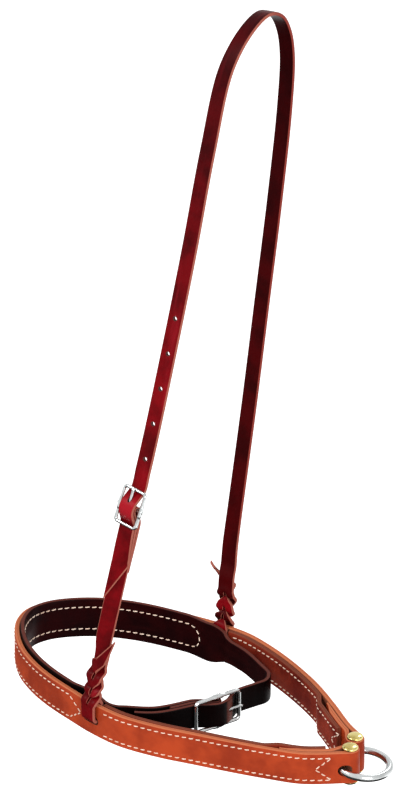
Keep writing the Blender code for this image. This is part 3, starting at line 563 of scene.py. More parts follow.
band = {
    "length": 303 * mm,
    "halfSpan": 75 * mm,
    "width": 1 * inch,
    "thick": 4 * mm,
    "foldBack": 52 * mm,
    "skive": 14 * mm,
    "tipShare": 0.35,
    "endTurn": math.radians(25),
    "endX": -3.2 * mm,
    "endY": 1.6 * mm,
    "shares": ((1.0, 0.0), (0.987, 0.21), (0.954, 0.40), (0.898, 0.60), (0.832, 0.745),
               (0.766, 0.84), (0.673, 0.925), (0.607, 0.975), (0.528, 1.0), (0.485, 0.985),
               (0.403, 0.913), (0.323, 0.81)),
    "nearEnd": ((0.240, 0.705), (0.152, 0.58), (0.071, 0.44)),
    "farEnd": ((0.238, 0.67), (0.152, 0.485), (0.066, 0.285)),
    "slotBack": 183 * mm,
    "farSlotAhead": 4.5 * mm,
    "slotDepth": 9.6 * mm,
    "slotRoom": 3.4 * mm,
    "slotOver": 6 * mm,
}
lining = {
    "thick": 3.6 * mm,
    "start": 1.5 * mm,
    "end": 17 * mm,
}
posts = {
    "gap": 15 * mm,
    "shaft": 5.2 * mm,
    "cap": 11.6 * mm,
    "capHeight": 2.6 * mm,
    "capRim": 0.7 * mm,
    "capFoot": 0.15 * mm,
    "capStep": 0.2 * mm,
    "domePower": 0.82,
    "screwShank": 3.4 * mm,
    "screwDepth": 9 * mm,
    "screwBevel": 0.3 * mm,
    "driveWidth": 1.2 * mm,
    "driveDepth": 0.8 * mm,
}
ring = {
    "innerRoom": 1.3 * mm,
    "innerRound": 3 * mm,
    "inside": 1.25 * inch,
    "wire": 5.5 * mm,
    "reach": 8.3 * mm,
    "droop": math.radians(5.4),
    "slotHeight": 9.2 * mm,
    "slotLevel": 14.6 * mm,
    "room": 1.2 * mm,
}

ringRadius = (ring["inside"] + ring["wire"]) / 2
endMiddle = Vector((band["endX"], band["endY"], 0))
endAhead = Vector((math.cos(band["endTurn"]), math.sin(band["endTurn"]), 0))
endAside = Vector((-math.sin(band["endTurn"]), math.cos(band["endTurn"]), 0))
postNear = endMiddle - endAside * (posts["gap"] / 2)
postFar = endMiddle + endAside * (posts["gap"] / 2)
ringCentre = endMiddle + endAhead * ring["reach"] - axisZ * ring["slotLevel"]
eyeInside = posts["shaft"] / 2 + fitGap
eyeMiddle = eyeInside + band["thick"] / 2


def loopPlan():
    # Centre line of the band from the near post's side round the nose to the far post's side,
    # moved in from the outer face by half the thickness.
    def places(shares, side):
        return [Vector((-x * band["length"], side * y * band["halfSpan"])) for x, y in shares]

    def tangent(point, post, side):
        # where a straight run from a point meets the eye round a post, and its direction
        away = post.xy - point
        angle = math.atan2(away.y, away.x)
        angle -= side * math.asin(-(eyeInside + band["thick"]) / away.length)
        ahead = Vector((math.cos(angle), math.sin(angle)))
        normal = Vector((-ahead.y, ahead.x)) * side
        return post.xy + normal * (eyeInside + band["thick"]), ahead

    near = places(band["shares"] + band["nearEnd"], -1)[::-1]
    far = places((band["shares"] + band["farEnd"])[1:], 1)
    nearTouch, nearAhead = tangent(near[0], postNear, -1)
    farTouch, farAhead = tangent(far[-1], postFar, 1)
    outer = Curve([nearTouch] + near + far + [farTouch])
    count = 260
    line = []
    for i in range(count + 1):
        s = outer.length * i / count
        place = outer.at(s)
        ahead = outer.direction(s)
        if i == 0:
            ahead = -nearAhead
        if i == count:
            ahead = farAhead
        inward = np.array((ahead[1], -ahead[0]))
        line.append(place + inward * band["thick"] / 2)
    return Curve(line, perSpan=1)


plan = loopPlan()


def planFrame(s, inset=0.0, drop=0.0):
    # place, direction along and outward normal on the band's centre line
    place = plan.at(s)
    ahead = plan.direction(s)
    outward = Vector((-ahead[1], ahead[0], 0))
    centre = Vector((place[0], place[1], -drop)) - outward * inset
    return centre, Vector((ahead[0], ahead[1], 0)), outward


def station(centre, across, through, width, thick, opening=0.0, crease=0.0):
    return {"centre": Vector(centre), "across": unit(across), "through": unit(through),
            "width": width, "thick": thick, "opening": opening, "crease": crease,
            "puff": 0.0, "cut": 0.0}


def spread(start, stop, step):
    # even places from start to stop, about a step apart
    count = max(1, math.ceil(abs(stop - start) / step))
    return [start + (stop - start) * i / count for i in range(count + 1)]


slotNearS = plan.where(0, -band["slotBack"], rising=False)
farSide = Curve(plan.points[::-1], perSpan=1)
slotFarS = plan.length - farSide.where(0, band["farSlotAhead"] - band["slotBack"], rising=False)


def bandPath():
    # stations of the outer band: fold-back, eye, leg, nose, leg, eye, fold-back
    stations = []
    middle = band["width"] / 2

    def fold(post, endS, sign):
        # fold-back and eye of one leg end, from its tip to the start of the outer layer
        part = []
        lastAhead, lastOut = planFrame(endS)[1:]
        for d in spread(band["foldBack"], 0.0, steps["fold"]):
            s = endS + sign * d
            skive = smoothstep((band["foldBack"] - d) / band["skive"])
            thick = mix(band["tipShare"], 1.0, skive) * band["thick"]
            ease = smoothstep(d / (3 * eyeMiddle))
            flat, ahead, outward = planFrame(s, band["thick"] / 2 + fitGap + thick / 2, middle)
            tight = Vector((post.x, post.y, -middle)) - lastOut * eyeMiddle
            tight += lastAhead * (sign * d)
            part.append((mix(tight, flat, ease), outward, thick))
        outward = part[-1][1]
        centre = Vector((post.x, post.y, -middle))
        start = math.atan2(-outward.y, -outward.x)
        turn = -sign
        for k in range(1, steps["eye"]):
            angle = start + turn * math.pi * k / steps["eye"]
            ray = Vector((math.cos(angle), math.sin(angle), 0))
            part.append((centre + ray * eyeMiddle, -ray, band["thick"]))
        return part

    near = fold(postNear, 0.0, 1)
    far = fold(postFar, plan.length, -1)
    for centre, through, thick in near:
        stations.append(station(centre, axisZ, through, band["width"], thick))
    for s in spread(0.0, plan.length, steps["bend"]):
        centre, ahead, outward = planFrame(s, 0.0, middle)
        stations.append(station(centre, axisZ, -outward, band["width"], band["thick"]))
    for centre, through, thick in reversed(far):
        stations.append(station(centre, axisZ, through, band["width"], thick))
    return stations


def liningInset(s, endS):
    # distance from the band's middle in to a lining, which steps over the fold-back
    over = smoothstep((band["foldBack"] + fitGap - abs(s - endS)) / band["skive"] + 1)
    return band["thick"] / 2 + fitGap + over * (band["thick"] + fitGap)


def liningPath(slotS, endS, sign):
    # stations of one leg lining, stepping in over the fold-back behind it
    stations = []
    start = slotS - sign * (crown["width"] / 2 + loopClear + lining["start"])
    stop = endS + sign * lining["end"]
    for s in spread(start, stop, steps["bend"]):
        inset = liningInset(s, endS) + lining["thick"] / 2
        centre, ahead, outward = planFrame(s, inset, band["width"] / 2)
        stations.append(station(centre, axisZ, -outward, band["width"], lining["thick"]))
    return stations


# Headstall

crown = {
    "width": 0.5 * inch,
    "thick": 2.8 * mm,
    "footStraight": 12 * mm,
    "footTurnStart": 40 * mm,
    "footTurnEnd": 100 * mm,
    "footDriftEnd": 70 * mm,
    "twist": math.radians(20),
    "twistStart": 28 * mm,
    "twistEnd": 144 * mm,
    "twistIn": 32 * mm,
    "twistOut": 36 * mm,
    "drop": 522 * mm,
    "lean": 50 * mm,
    "roll": 0.19,
    "rollFromShare": 0.8,
    "billetBelow": 75 * mm,
    "billetCut": 29 * mm,
    "hole": 3.6 * mm,
    "holePitch": 1.10 * inch,
    "holes": 5,
    "holeFirst": 37.3 * mm,
    "holeDrift": 0.1 * mm,
    "shares": ((0.0, 0.98), (0.045, 1.0), (0.10, 1.03), (0.16, 1.055), (0.35, 1.14),
               (0.51, 1.195), (0.67, 1.25), (0.82, 1.275), (0.905, 1.243), (0.953, 1.15),
               (0.986, 1.0), (1.0, 0.80), (0.988, 0.56), (0.945, 0.30), (0.825, 0.12),
               (0.674, -0.035), (0.524, -0.215), (0.375, -0.415), (0.244, -0.63),
               (0.131, -0.80), (0.08, -0.87), (0.035, -0.935), (0.0, -0.98)),
    "cheekFold": 52 * mm,
}

# from the loop's frame, with its origin on the band's top edge between the posts, to the shared one
apex = max(crown["shares"], key=lambda share: share[0])
shift = Vector((band["slotBack"] - crown["lean"], -apex[1] * band["halfSpan"],
                crown["thick"] / 2 - crown["drop"]))


def crownCurve():
    points = []
    for height, side in crown["shares"]:
        x = -band["slotBack"] + crown["lean"] * height
        points.append((x, side * band["halfSpan"], height * crown["drop"]))
    return Curve(points)


crownRoute = crownCurve()


class Run:
    # What a strap runs along. Its frame at a height, or length, gives the place, the direction
    # upwards along it, the direction across and the outward normal.

    def on(self, height, out):
        place, up, across, outward = self.frame(height)
        return place + outward * out, up, across, outward


class Leg(Run):
    # one side of the headstall, read by height along it from the band's top edge

    def __init__(self, slotS, side):
        self.side = side
        base, ahead, outward = planFrame(slotS)
        self.footAcross = Vector((ahead.x, ahead.y, 0)) * (1 if ahead.x * -side > 0 else -1)
        line = crownRoute.points if side > 0 else crownRoute.points[::-1]
        peak = int(np.argmax(line[:, 2]))
        drift = np.array((base[0] + band["slotBack"], 0, 0))
        rest = [p + drift * (1 - smoothstep(p[2] / crown["footDriftEnd"]))
                for p in line[:peak + 1] if p[2] > crown["footStraight"]]
        low = [np.array(base - axisZ * drop)
               for drop in spread(band["width"], 0.0, band["width"] / 3)]
        self.route = Curve(low + rest, perSpan=2)
        self.zero = self.route.where(2, 0.0)

    def frame(self, height):
        s = self.zero + height
        up = Vector(self.route.direction(s))
        place = Vector(self.route.at(s))
        turnRun = crown["footTurnEnd"] - crown["footTurnStart"]
        level = smoothstep((height - crown["footTurnStart"]) / turnRun)
        across = self.footAcross.lerp(axisX * (-self.side), level)
        if self.side < 0:
            turn = smoothstep((height - crown["twistStart"]) / crown["twistIn"])
            turn *= crown["twist"] * smoothstep((crown["twistEnd"] - height) / crown["twistOut"])
            across = across * math.cos(turn) + axisZ.cross(across) * math.sin(turn)
        top = crown["rollFromShare"]
        rise = smoothstep((place.z / crown["drop"] - top) / (1 - top)) * crown["roll"]
        across += axisZ * (rise * -self.side)
        across = (across - up * across.dot(up)).normalized()
        outward = across.cross(up).normalized()
        return place, up, across, outward


nearLeg = Leg(slotNearS, -1)
farLeg = Leg(slotFarS, 1)

layer = crown["thick"] + fitGap
faceOut = band["thick"] / 2 + loopClear + crown["thick"] / 2
levelOut = layer / 2 + fitGap


# Bleed knots: crossings above the band, slit and squeezed sizes

knot = {
    "crossings": (5 * mm, 12.5 * mm, 24.5 * mm),
    "farShare": 0.95,
    "fade": 12 * mm,
    "clear": 18 * mm,
    "slitHalf": 6.2 * mm,
    "slitFlat": 0.5,
    "slitReach": 0.98,
    "squeeze": 1.2 * mm,
    "squeezeHalf": 6.5 * mm,
    "squeezeAbove": (7 * mm, 8 * mm, 13 * mm),
    "foot": 5 * mm,
    "top": 34 * mm,
    "puffFrom": (-2 * mm, 4.5 * mm),
    "puffRise": 4 * mm,
    "puffFall": 6 * mm,
    "puff": 1.0 * mm,
    "swapHalf": 3.2 * mm,
    "farTail": 16.5 * mm,
    "farTailLift": 1.5 * mm,
    "farTailDrift": 15 * mm,
    "farTailBend": 5.0,
    "tail": 18.5 * mm,
    "farTip": 4.5 * mm,
    "bevel": 0.9 * mm,
    "bevelShare": 0.85,
    "tipShare": 0.45,
    "tailCut": 19 * mm,
    "tailLift": 1.4 * mm,
    "tailDrift": 5 * mm,
    "tailBend": 1.0,
}


def knotLevels(height, start):
    # Distance outwards of a knot's strap at a height. Start is its side below the first crossing:
    # 1 for the layer that comes out over the band, -1 for the one behind it.
    side = start
    level = start * levelOut
    for crossing in knot["crossings"]:
        swap = smoothstep((height - crossing + knot["swapHalf"]) / (2 * knot["swapHalf"]))
        level += -2 * side * levelOut * swap
        side = -side
    foot = 1 - smoothstep(height / knot["foot"])
    return level + foot * start * (faceOut - levelOut)


def knotOpening(height, slits):
    for crossing in slits:
        away = abs(height - crossing) / knot["slitHalf"]
        if away < knot["slitReach"]:
            return (knot["squeeze"] / 2 + fitGap) * smoothstep((1 - away) / (1 - knot["slitFlat"]))
    return 0.0


def knotWidth(height, squeezes):
    for crossing in squeezes:
        reach = knot["squeezeHalf"]
        if height > crossing:
            reach = knot["squeezeAbove"][knot["crossings"].index(crossing)]
        away = abs(height - crossing) / reach
        if away < 1:
            return mix(knot["squeeze"], crown["width"], math.sin(away * math.pi / 2))
    return crown["width"]


def flatPath(leg, line, sign=1.0, widths=None, openings=None, shifts=None, thick=crown["thick"]):
    # strap stations from a line of (height, out) pairs drawn in a leg's own section
    stations = []
    count = len(line)
    for i, (height, out) in enumerate(line):
        before = line[max(i - 1, 0)]
        after = line[min(i + 1, count - 1)]
        place, up, across, outward = leg.on(height, out)
        run = up * (after[0] - before[0]) + outward * (after[1] - before[1])
        run.normalize()
        through = (across * sign).cross(run).normalized()
        width = widths[i] if widths else crown["width"]
        opening = openings[i] if openings else 0.0
        place += across * (shifts[i] if shifts else 0.0)
        # how far a knot squeezes the strap; the leather darkens there as painted shade, and
        # wrinkles
        crease = max(0.0, 1 - width / crown["width"]) if openings else 0.0
        stations.append(station(place, across * sign, through, width, thick, opening, crease))
        if openings:
            low = knot["puffFrom"][0 if out > 0 else 1]
            inKnot = smoothstep((height - low) / knot["puffRise"])
            inKnot *= smoothstep((knot["top"] - height) / knot["puffFall"])
            facing = max(-1.0, min(1.0, out / levelOut)) * through.dot(outward)
            stations[-1]["puff"] = knot["puff"] * inKnot * facing
    return stations


def knotLine(legTop, tailTop, size, lift, drift, bend, tip):
    # Line, widths, openings and sideways shifts of the looped strap end: main part down to the
    # slot, round the band's upper edge and up again as the tail. Size scales its height.
    line = []
    widths = []
    openings = []
    shifts = []
    first, second, third = knot["crossings"]
    clearTop = (third + knot["swapHalf"]) * size

    def add(height, out, squeezes=(), slits=(), shift=0.0):
        line.append((height, out))
        widths.append(knotWidth(height / size, squeezes))
        openings.append(knotOpening(height / size, slits))
        shifts.append(shift)

    heights = spread(legTop, (third + knot["slitHalf"]) * size, steps["fold"])[:-1]
    heights += spread((third + knot["slitHalf"]) * size, -band["slotDepth"], steps["knot"])
    for height in heights:
        fade = smoothstep((height - clearTop - knot["fade"]) / knot["fade"])
        add(height, mix(knotLevels(height / size, 1), 0.0, fade), (second,), (first, third))
    for k in range(1, 20):
        angle = math.pi * k / 20
        add(-band["slotDepth"] - faceOut * math.sin(angle), faceOut * math.cos(angle))
    for height in spread(-band["slotDepth"], clearTop, steps["knot"])[:-1]:
        add(height, knotLevels(height / size, -1), (first, third), (second,))
    for height in spread(clearTop, tailTop - knot["tailCut"] / 2, steps["fold"]) + [tailTop]:
        rise = smoothstep((height - clearTop) / (tailTop - clearTop))
        out = knotLevels(height / size, -1) + rise * lift
        add(height, out, (first, third), (second,), rise ** bend * drift)
        widths[-1] = mix(widths[-1], tip, rise ** 2)
    return line, widths, openings, shifts


def slantEnd(stations, index, cut):
    # turn an end station into a slanting cut with a pared, paler rim
    end = stations[index]
    run = end["through"].cross(end["across"])
    edge = end["across"] * end["width"] + run * cut
    long = edge.length / end["width"]
    end["across"] = edge.normalized()
    end["width"] = edge.length
    back = run * (knot["bevel"] * long)
    if index == 0:
        back = -back
    rows = [{**end, "centre": end["centre"] - back * share, "cut": cut}
            for share, cut in ((1.0, 0.0), (knot["bevelShare"], 1.0))]
    end["thick"] *= knot["tipShare"]
    end["cut"] = 1.0
    beside = 1 if index == 0 else -2
    reach = abs(cut) / 2 + back.length
    while abs((stations[beside]["centre"] - end["centre"]).dot(run)) < reach:
        del stations[beside]
    if index == 0:
        stations[1:1] = rows[::-1]
    else:
        stations[-1:-1] = rows


buckles = {
    "pin": 2.2 * mm,
    "pinStand": 0.5 * mm,
    "boss": 1.35,
    "bossHalf": 3.2 * mm,
    "bossTaperShare": 0.6,
    "corner": 0.95,
    "tongue": 2.2 * mm,
    "tongueRoom": 0.5 * mm,
    "tipOver": 1.8 * mm,
    "tipTaper": 3 * mm,
    "tipShares": (0.5, 0.3),
    "shankShares": ((0.3, 0.3), (0.6, 0.62)),
    "curl": math.radians(250),
    "lift": math.radians(6),
    "skive": 0.5,
    "holeShares": (0.52, 0.6, 0.45, 0.66),
    "settleShares": (0.55, 0.35),
    "crestShares": (0.66, 0.34, 0.0),
    "crestPower": 1.3,
    "cheekWire": 2.6 * mm,
    "cheekHeight": 29.5 * mm,
    "cheekRoom": 1.7 * mm,
    "cheekUp": 158 * mm,
    "cheekTilt": math.radians(6),
    "cheekSettleShare": 0.9,
    "cheekCreaseShare": 0.7,
    "jawWire": 3.0 * mm,
    "jawHeight": 40 * mm,
    "jawRoom": 0.9 * mm,
    "jawTilt": math.radians(5),
    "jawSettleShare": 0.8,
    "jawCreaseShares": (0.4, 0.22),
}
jawStrap = {
    "wide": 1.25 * inch,
    "narrow": 0.75 * inch,
    "thick": 3.2 * mm,
    "taper": 24 * mm,
    "slotRun": 22 * mm,
    "billetBelow": 58 * mm,
    "turnBack": 34 * mm,
    "shares": ((0.545, -0.755), (0.487, -0.59), (0.443, -0.285), (0.4205, -0.063),
               (0.398, 0.16), (0.376, 0.36), (0.3647, 0.48), (0.376, 0.587),
               (0.416, 0.667), (0.482, 0.773), (0.551, 0.833)),
    "barPoint": 3,
    "perSpan": 30,
}
jawClose = band["thick"] / 2 + fitGap + jawStrap["thick"] / 2
jawAway = band["thick"] / 2 + 2 * loopClear + crown["thick"] + jawStrap["thick"] / 2
jawFirst = slotNearS + crown["width"] / 2
jawLast = slotFarS - crown["width"] / 2


def jawInset(s):
    # distance in from the band's middle: close round the nose, away behind the knots
    nearSlot = min(s - jawFirst, jawLast - s)
    return mix(jawAway, jawClose, smoothstep(nearSlot / jawStrap["slotRun"]))


# Buckle layers, drawn in the section across the bars: (height from the centre bar, out)

class BuckleSection:
    def __init__(self, wire, frameHeight, tilt, thick, level, width, room):
        self.wire = wire
        self.width = width + 2 * room + wire
        self.thick = thick
        self.fold = thick * buckles["skive"]
        self.half = (frameHeight - wire) / 2
        self.tilt = tilt
        self.hug = buckles["pin"] / 2 + fitGap + self.fold / 2
        self.level = level
        lowerBar = level + thick * 1.5 + fitGap * 3 + wire / 2
        self.barOut = lowerBar - self.half * math.sin(tilt)
        # the tongue's middle line: its curl round the bar, and where it rests on the frame
        self.curl = buckles["pin"] / 2 + fitGap + buckles["tongue"] / 2
        self.restHeight = self.half * math.cos(tilt)
        self.restOut = (wire + buckles["tongue"]) / 2 + fitGap - self.half * math.sin(tilt)

    def bar(self, share):
        # centre of a bar at a share of the half height: 1 top, 0 centre, -1 bottom
        return (share * self.half * math.cos(self.tilt),
                self.barOut - share * self.half * math.sin(self.tilt))

    def foldThick(self, height):
        # the fold is pared down towards the centre bar
        return mix(self.thick, self.fold, smoothstep(1 + height / self.half))

    def layerAt(self, height):
        return (self.thick + self.foldThick(height)) / 2 + fitGap

    def outerLayer(self, height):
        rise = smoothstep(1 + height / self.half)
        return mix(self.level, self.barOut + self.hug, rise)

    def innerLayer(self, height):
        rise = smoothstep(1 + height / self.half)
        return mix(self.level - self.thick - fitGap, self.barOut - self.hug, rise)

    def wrap(self, count=22):
        # points round the centre bar from the inner layer over the top to the outer one
        points = []
        for k in range(1, count):
            angle = math.pi * k / count
            points.append((self.hug * math.sin(angle), self.barOut - self.hug * math.cos(angle)))
        return points

    def billet(self, settle, step):
        # the tongue-end strap over the centre bar and under the outer bars, from above
        reach = self.hug + self.layerAt(0.0)
        topHeight, topOut = self.bar(1)
        under = topOut - self.wire / 2 - self.thick / 2 - 2.5 * fitGap
        farShare, outShare = buckles["settleShares"]
        bends = [(topHeight + settle, 0.0), (topHeight + settle * farShare, under * outShare),
                 (topHeight, under)]
        crest = self.barOut + reach
        for share in buckles["crestShares"]:
            rise = math.sin((1 - share) * math.pi / 2) ** buckles["crestPower"]
            bends.append((share * topHeight, mix(under, crest, rise)))
        lower = []
        nudge = self.half / 100
        for height in spread(0.0, -self.half * 1.15, self.half / 10)[1:]:
            slope = (self.outerLayer(height + nudge) - self.outerLayer(height - nudge))
            slope /= 2 * nudge
            length = math.hypot(1, slope)
            away = self.layerAt(height) / length
            lower.append((height - slope * away, self.outerLayer(height) + away))
        lower = [p for p in lower if p[0] < -reach * 0.3]
        curve = Curve(bends + lower[1::3] + [lower[-1]])
        return [tuple(curve.at(s)) for s in spread(0.0, curve.length, step)]


cheekBuckle = BuckleSection(buckles["cheekWire"], buckles["cheekHeight"], buckles["cheekTilt"],
                            crown["thick"], 0.0, crown["width"], buckles["cheekRoom"])
jawBuckle = BuckleSection(buckles["jawWire"], buckles["jawHeight"], buckles["jawTilt"],
                          jawStrap["thick"], jawStrap["thick"] + fitGap, jawStrap["narrow"],
                          buckles["jawRoom"])


class JawRun(Run):
    # The jaw strap's run between the slots, read by length from the buckle's bar: positive
    # towards the far side, with outwards towards the ring.

    def __init__(self):
        start, ahead, outward = planFrame(slotNearS, jawAway)
        end, endRun, outward = planFrame(slotFarS, jawAway)
        middle = [Vector((-x * band["length"], y * band["halfSpan"], 0))
                  for x, y in jawStrap["shares"]]
        line = [start + ahead * (crown["width"] / 2), start - ahead * (crown["width"] / 2)] + middle
        line += [end + endRun * (crown["width"] / 2), end - endRun * (crown["width"] / 2)]
        perSpan = jawStrap["perSpan"]
        self.curve = Curve([(p.x, p.y, -band["width"] / 2) for p in line], perSpan)
        self.zero = self.curve.lengths[(jawStrap["barPoint"] + 2) * perSpan]

    def frame(self, length):
        s = self.zero + length
        place = Vector(self.curve.at(s))
        up = Vector(self.curve.direction(s))
        across = -axisZ
        return place, up, across, across.cross(up).normalized()


jawRoute = JawRun()


# Materials

threadPaint = {"thread": paint(250, 226, 206), "soiled": paint(236, 200, 176),
               "grooveShade": paint(176, 120, 92)}
nickelPaint = {"metal": (0.66, 0.68, 0.68, 1.0), "tarnish": (0.46, 0.48, 0.48, 1.0),
               "gloss": 0.10, "wear": 0.10}
brassPaint = {"metal": paint(228, 214, 146), "tarnish": paint(176, 152, 74),
              "gloss": 0.07, "wear": 0.07}
# what the leathers share: how far creases darken as painted shade, the painted highlight colour of
# a bend, the painted shade colour of the top with the heights that it lies between, the stain on
# edges and how far painted shade darkens them on the far side, fibres and relief
plainLeather = {
    "shade": 0.5, "bendHighlight": paint(88, 34, 20), "topShade": paint(24, 0, 1), "shadedTopHeights": (0.5, 0.6),
    "stain": 0.5, "farEdgeShade": 0.0, "farFrom": (-0.03, 0.02), "farAbove": (-0.49, -0.43),
    "plies": (), "fibre": 900.0, "wrinkleDeep": 0.45 * mm, "grainDeep": 0.055 * mm,
}
# the crown strap's inner face is painted darker than the cheek piece's, and its top and far edges
# darker still: painted shade on the far strap; the bend colour is a painted highlight
crownPaint = {
    **plainLeather,
    "face": paint(124, 5, 14), "deep": paint(80, 1, 5), "light": paint(162, 28, 40),
    "inner": paint(66, 2, 4), "innerDeep": paint(46, 1, 2),
    "edge": paint(200, 134, 114), "edgeDeep": paint(172, 100, 84), "edgeStainAndShade": paint(126, 34, 30),
    "rimFrom": 0.36, "rimTo": 0.56, "mottle": 42.0, "streak": 2.2, "pullUp": 0.5, "grain": 1500.0,
    "gloss": 0.36, "edgeDull": 0.2, "coat": 0.03, "bump": 0.35, "wrinkle": 0.10, "specular": 0.035,
    "shade": 0.3, "bendHighlight": paint(168, 26, 38), "shadedTopHeights": (-0.36, 0.02), "farEdgeShade": 0.85,
}
# the cheek piece's copy of the same leather: its inner face lit like its face, and no painted shade
# at the top
cheekPaint = {**crownPaint, "inner": paint(118, 5, 13), "innerDeep": paint(82, 2, 6),
              "shadedTopHeights": plainLeather["shadedTopHeights"]}
bandPaint = {
    **plainLeather,
    "face": paint(150, 86, 62), "deep": paint(122, 64, 44), "light": paint(170, 104, 78),
    "inner": paint(180, 66, 30), "innerDeep": paint(144, 46, 20),
    "edge": paint(206, 138, 98), "edgeDeep": paint(180, 104, 66), "edgeStainAndShade": paint(184, 84, 50),
    "ply": paint(116, 54, 32), "plies": (-0.05,), "plyWidth": 0.14,
    "rimFrom": 0.36, "rimTo": 0.6, "mottle": 30.0, "streak": 2.0, "pullUp": 0.45, "grain": 1300.0,
    "gloss": 0.42, "edgeDull": 0.22, "coat": 0.04, "bump": 0.4, "wrinkle": 0.10, "specular": 0.09,
}
liningPaint = {
    **plainLeather,
    "face": paint(142, 48, 30), "deep": paint(98, 24, 15), "light": paint(146, 58, 40),
    "inner": paint(142, 48, 30), "innerDeep": paint(98, 24, 15),
    "edge": paint(150, 84, 60), "edgeDeep": paint(118, 58, 40), "edgeStainAndShade": paint(90, 34, 24),
    "ply": paint(84, 36, 26), "plies": (0.0,), "plyWidth": 0.12,
    "rimFrom": 0.36, "rimTo": 0.6, "mottle": 36.0, "streak": 2.4, "pullUp": 0.35, "grain": 1300.0,
    "gloss": 0.44, "edgeDull": 0.2, "coat": 0.02, "bump": 0.45, "wrinkle": 0.12, "specular": 0.08,
}
jawPaint = {
    **plainLeather,
    "face": paint(34, 2, 3), "deep": paint(20, 1, 2), "light": paint(52, 8, 8),
    "inner": paint(9, 1, 1), "innerDeep": paint(4, 1, 1),
    "edge": paint(132, 74, 62), "edgeDeep": paint(98, 46, 38), "edgeStainAndShade": paint(50, 16, 16),
    "rimFrom": 0.5, "rimTo": 0.75, "mottle": 38.0, "streak": 2.4, "pullUp": 0.4, "grain": 1400.0,
    "gloss": 0.38, "edgeDull": 0.2, "coat": 0.02, "bump": 0.4, "wrinkle": 0.12, "specular": 0.05,
}
crownLeather = leatherLook("burgundyLeather", crownPaint)
cheekLeather = leatherLook("cheekLeather", cheekPaint)
bandLeather = leatherLook("russetLeather", bandPaint)
liningLeather = leatherLook("liningLeather", liningPaint)
jawLeather = leatherLook("darkBurgundyLeather", jawPaint)
thread = threadLook("waxedThread", threadPaint)
nickel = metalLook("nickel", nickelPaint)
brass = metalLook("brass", brassPaint)
# the walls of holes and slots are darker than the cut edges: painted shade inside them
crownWall = holeLook("crownCutWall", paint(96, 40, 34))
bandWall = holeLook("bandCutWall", paint(126, 70, 46))
print("materials made")


# Straps

def cheekPath():
    height = buckles["cheekUp"]
    half = cheekBuckle.half
    line = [(h + height, cheekBuckle.innerLayer(h))
            for h in spread(-crown["cheekFold"], 0.0, steps["fold"])]
    line += [(h + height, out) for h, out in cheekBuckle.wrap()]
    line += [(h + height, cheekBuckle.outerLayer(h)) for h in spread(0.0, -half, steps["fold"])]
    tailTop = knot["crossings"][2] + knot["swapHalf"] + knot["tail"]
    top = tailTop + knot["clear"]
    line += [(h, 0.0) for h in spread(height - half, top, steps["run"])[1:]]
    plain = [0.0] * len(line)
    tied, widths, openings, shifts = knotLine(top, tailTop, 1.0, knot["tailLift"],
                                              knot["tailDrift"], knot["tailBend"],
                                              crown["width"])
    stations = flatPath(nearLeg, line + tied[1:], 1.0, [crown["width"]] * len(line) + widths[1:],
                        plain + openings[1:], shifts=plain + shifts[1:])
    for place, (h, out) in zip(stations, line):
        place["thick"] = cheekBuckle.foldThick(h - height)
    slantEnd(stations, -1, knot["tailCut"])
    return stations


def crownPath():
    tailTop = (knot["crossings"][2] + knot["swapHalf"]) * knot["farShare"] + knot["farTail"]
    farTop = tailTop + knot["clear"]
    tied, widths, openings, shifts = knotLine(farTop, tailTop, knot["farShare"],
                                              knot["farTailLift"], knot["farTailDrift"],
                                              knot["farTailBend"], knot["farTip"])
    stations = flatPath(farLeg, tied[::-1], 1.0, widths[::-1], openings[::-1],
                        shifts=shifts[::-1])
    slantEnd(stations, 0, -knot["farTip"])
    peak = farLeg.route.length - farLeg.zero
    stations += flatPath(farLeg, [(h, 0.0) for h in spread(farTop, peak, steps["run"])[1:-1]])
    peak = nearLeg.route.length - nearLeg.zero
    settle = buckles["cheekHeight"] * buckles["cheekSettleShare"]
    seat = cheekBuckle.billet(settle, steps["knot"])
    seat = [(h + buckles["cheekUp"], out) for h, out in seat]
    line = [(h, 0.0) for h in spread(peak, seat[0][0], steps["run"])[:-1]] + seat
    last, out = seat[-1]
    end = buckles["cheekUp"] - crown["billetBelow"] + crown["billetCut"] / 2
    line += [(h, out) for h in spread(last, end + crown["billetCut"] / 2, steps["fold"])[1:]]
    billet = flatPath(nearLeg, line + [(end, out)], -1.0)
    # over the centre bar the crease goes below 0: a painted highlight on the fold, and wrinkles
    for place, (h, out) in zip(billet, line):
        away = (h - buckles["cheekUp"]) / (cheekBuckle.half * buckles["cheekCreaseShare"])
        place["crease"] = -max(0.0, 1 - away * away)
    stations += billet
    slantEnd(stations, -1, crown["billetCut"])
    return stations


def jawWidths(line, end, sign):
    # the strap narrows from a slot towards the buckle
    shares = [smoothstep(sign * (h - end) / jawStrap["taper"]) for h, out in line]
    return [mix(jawStrap["wide"], jawStrap["narrow"], share) for share in shares]


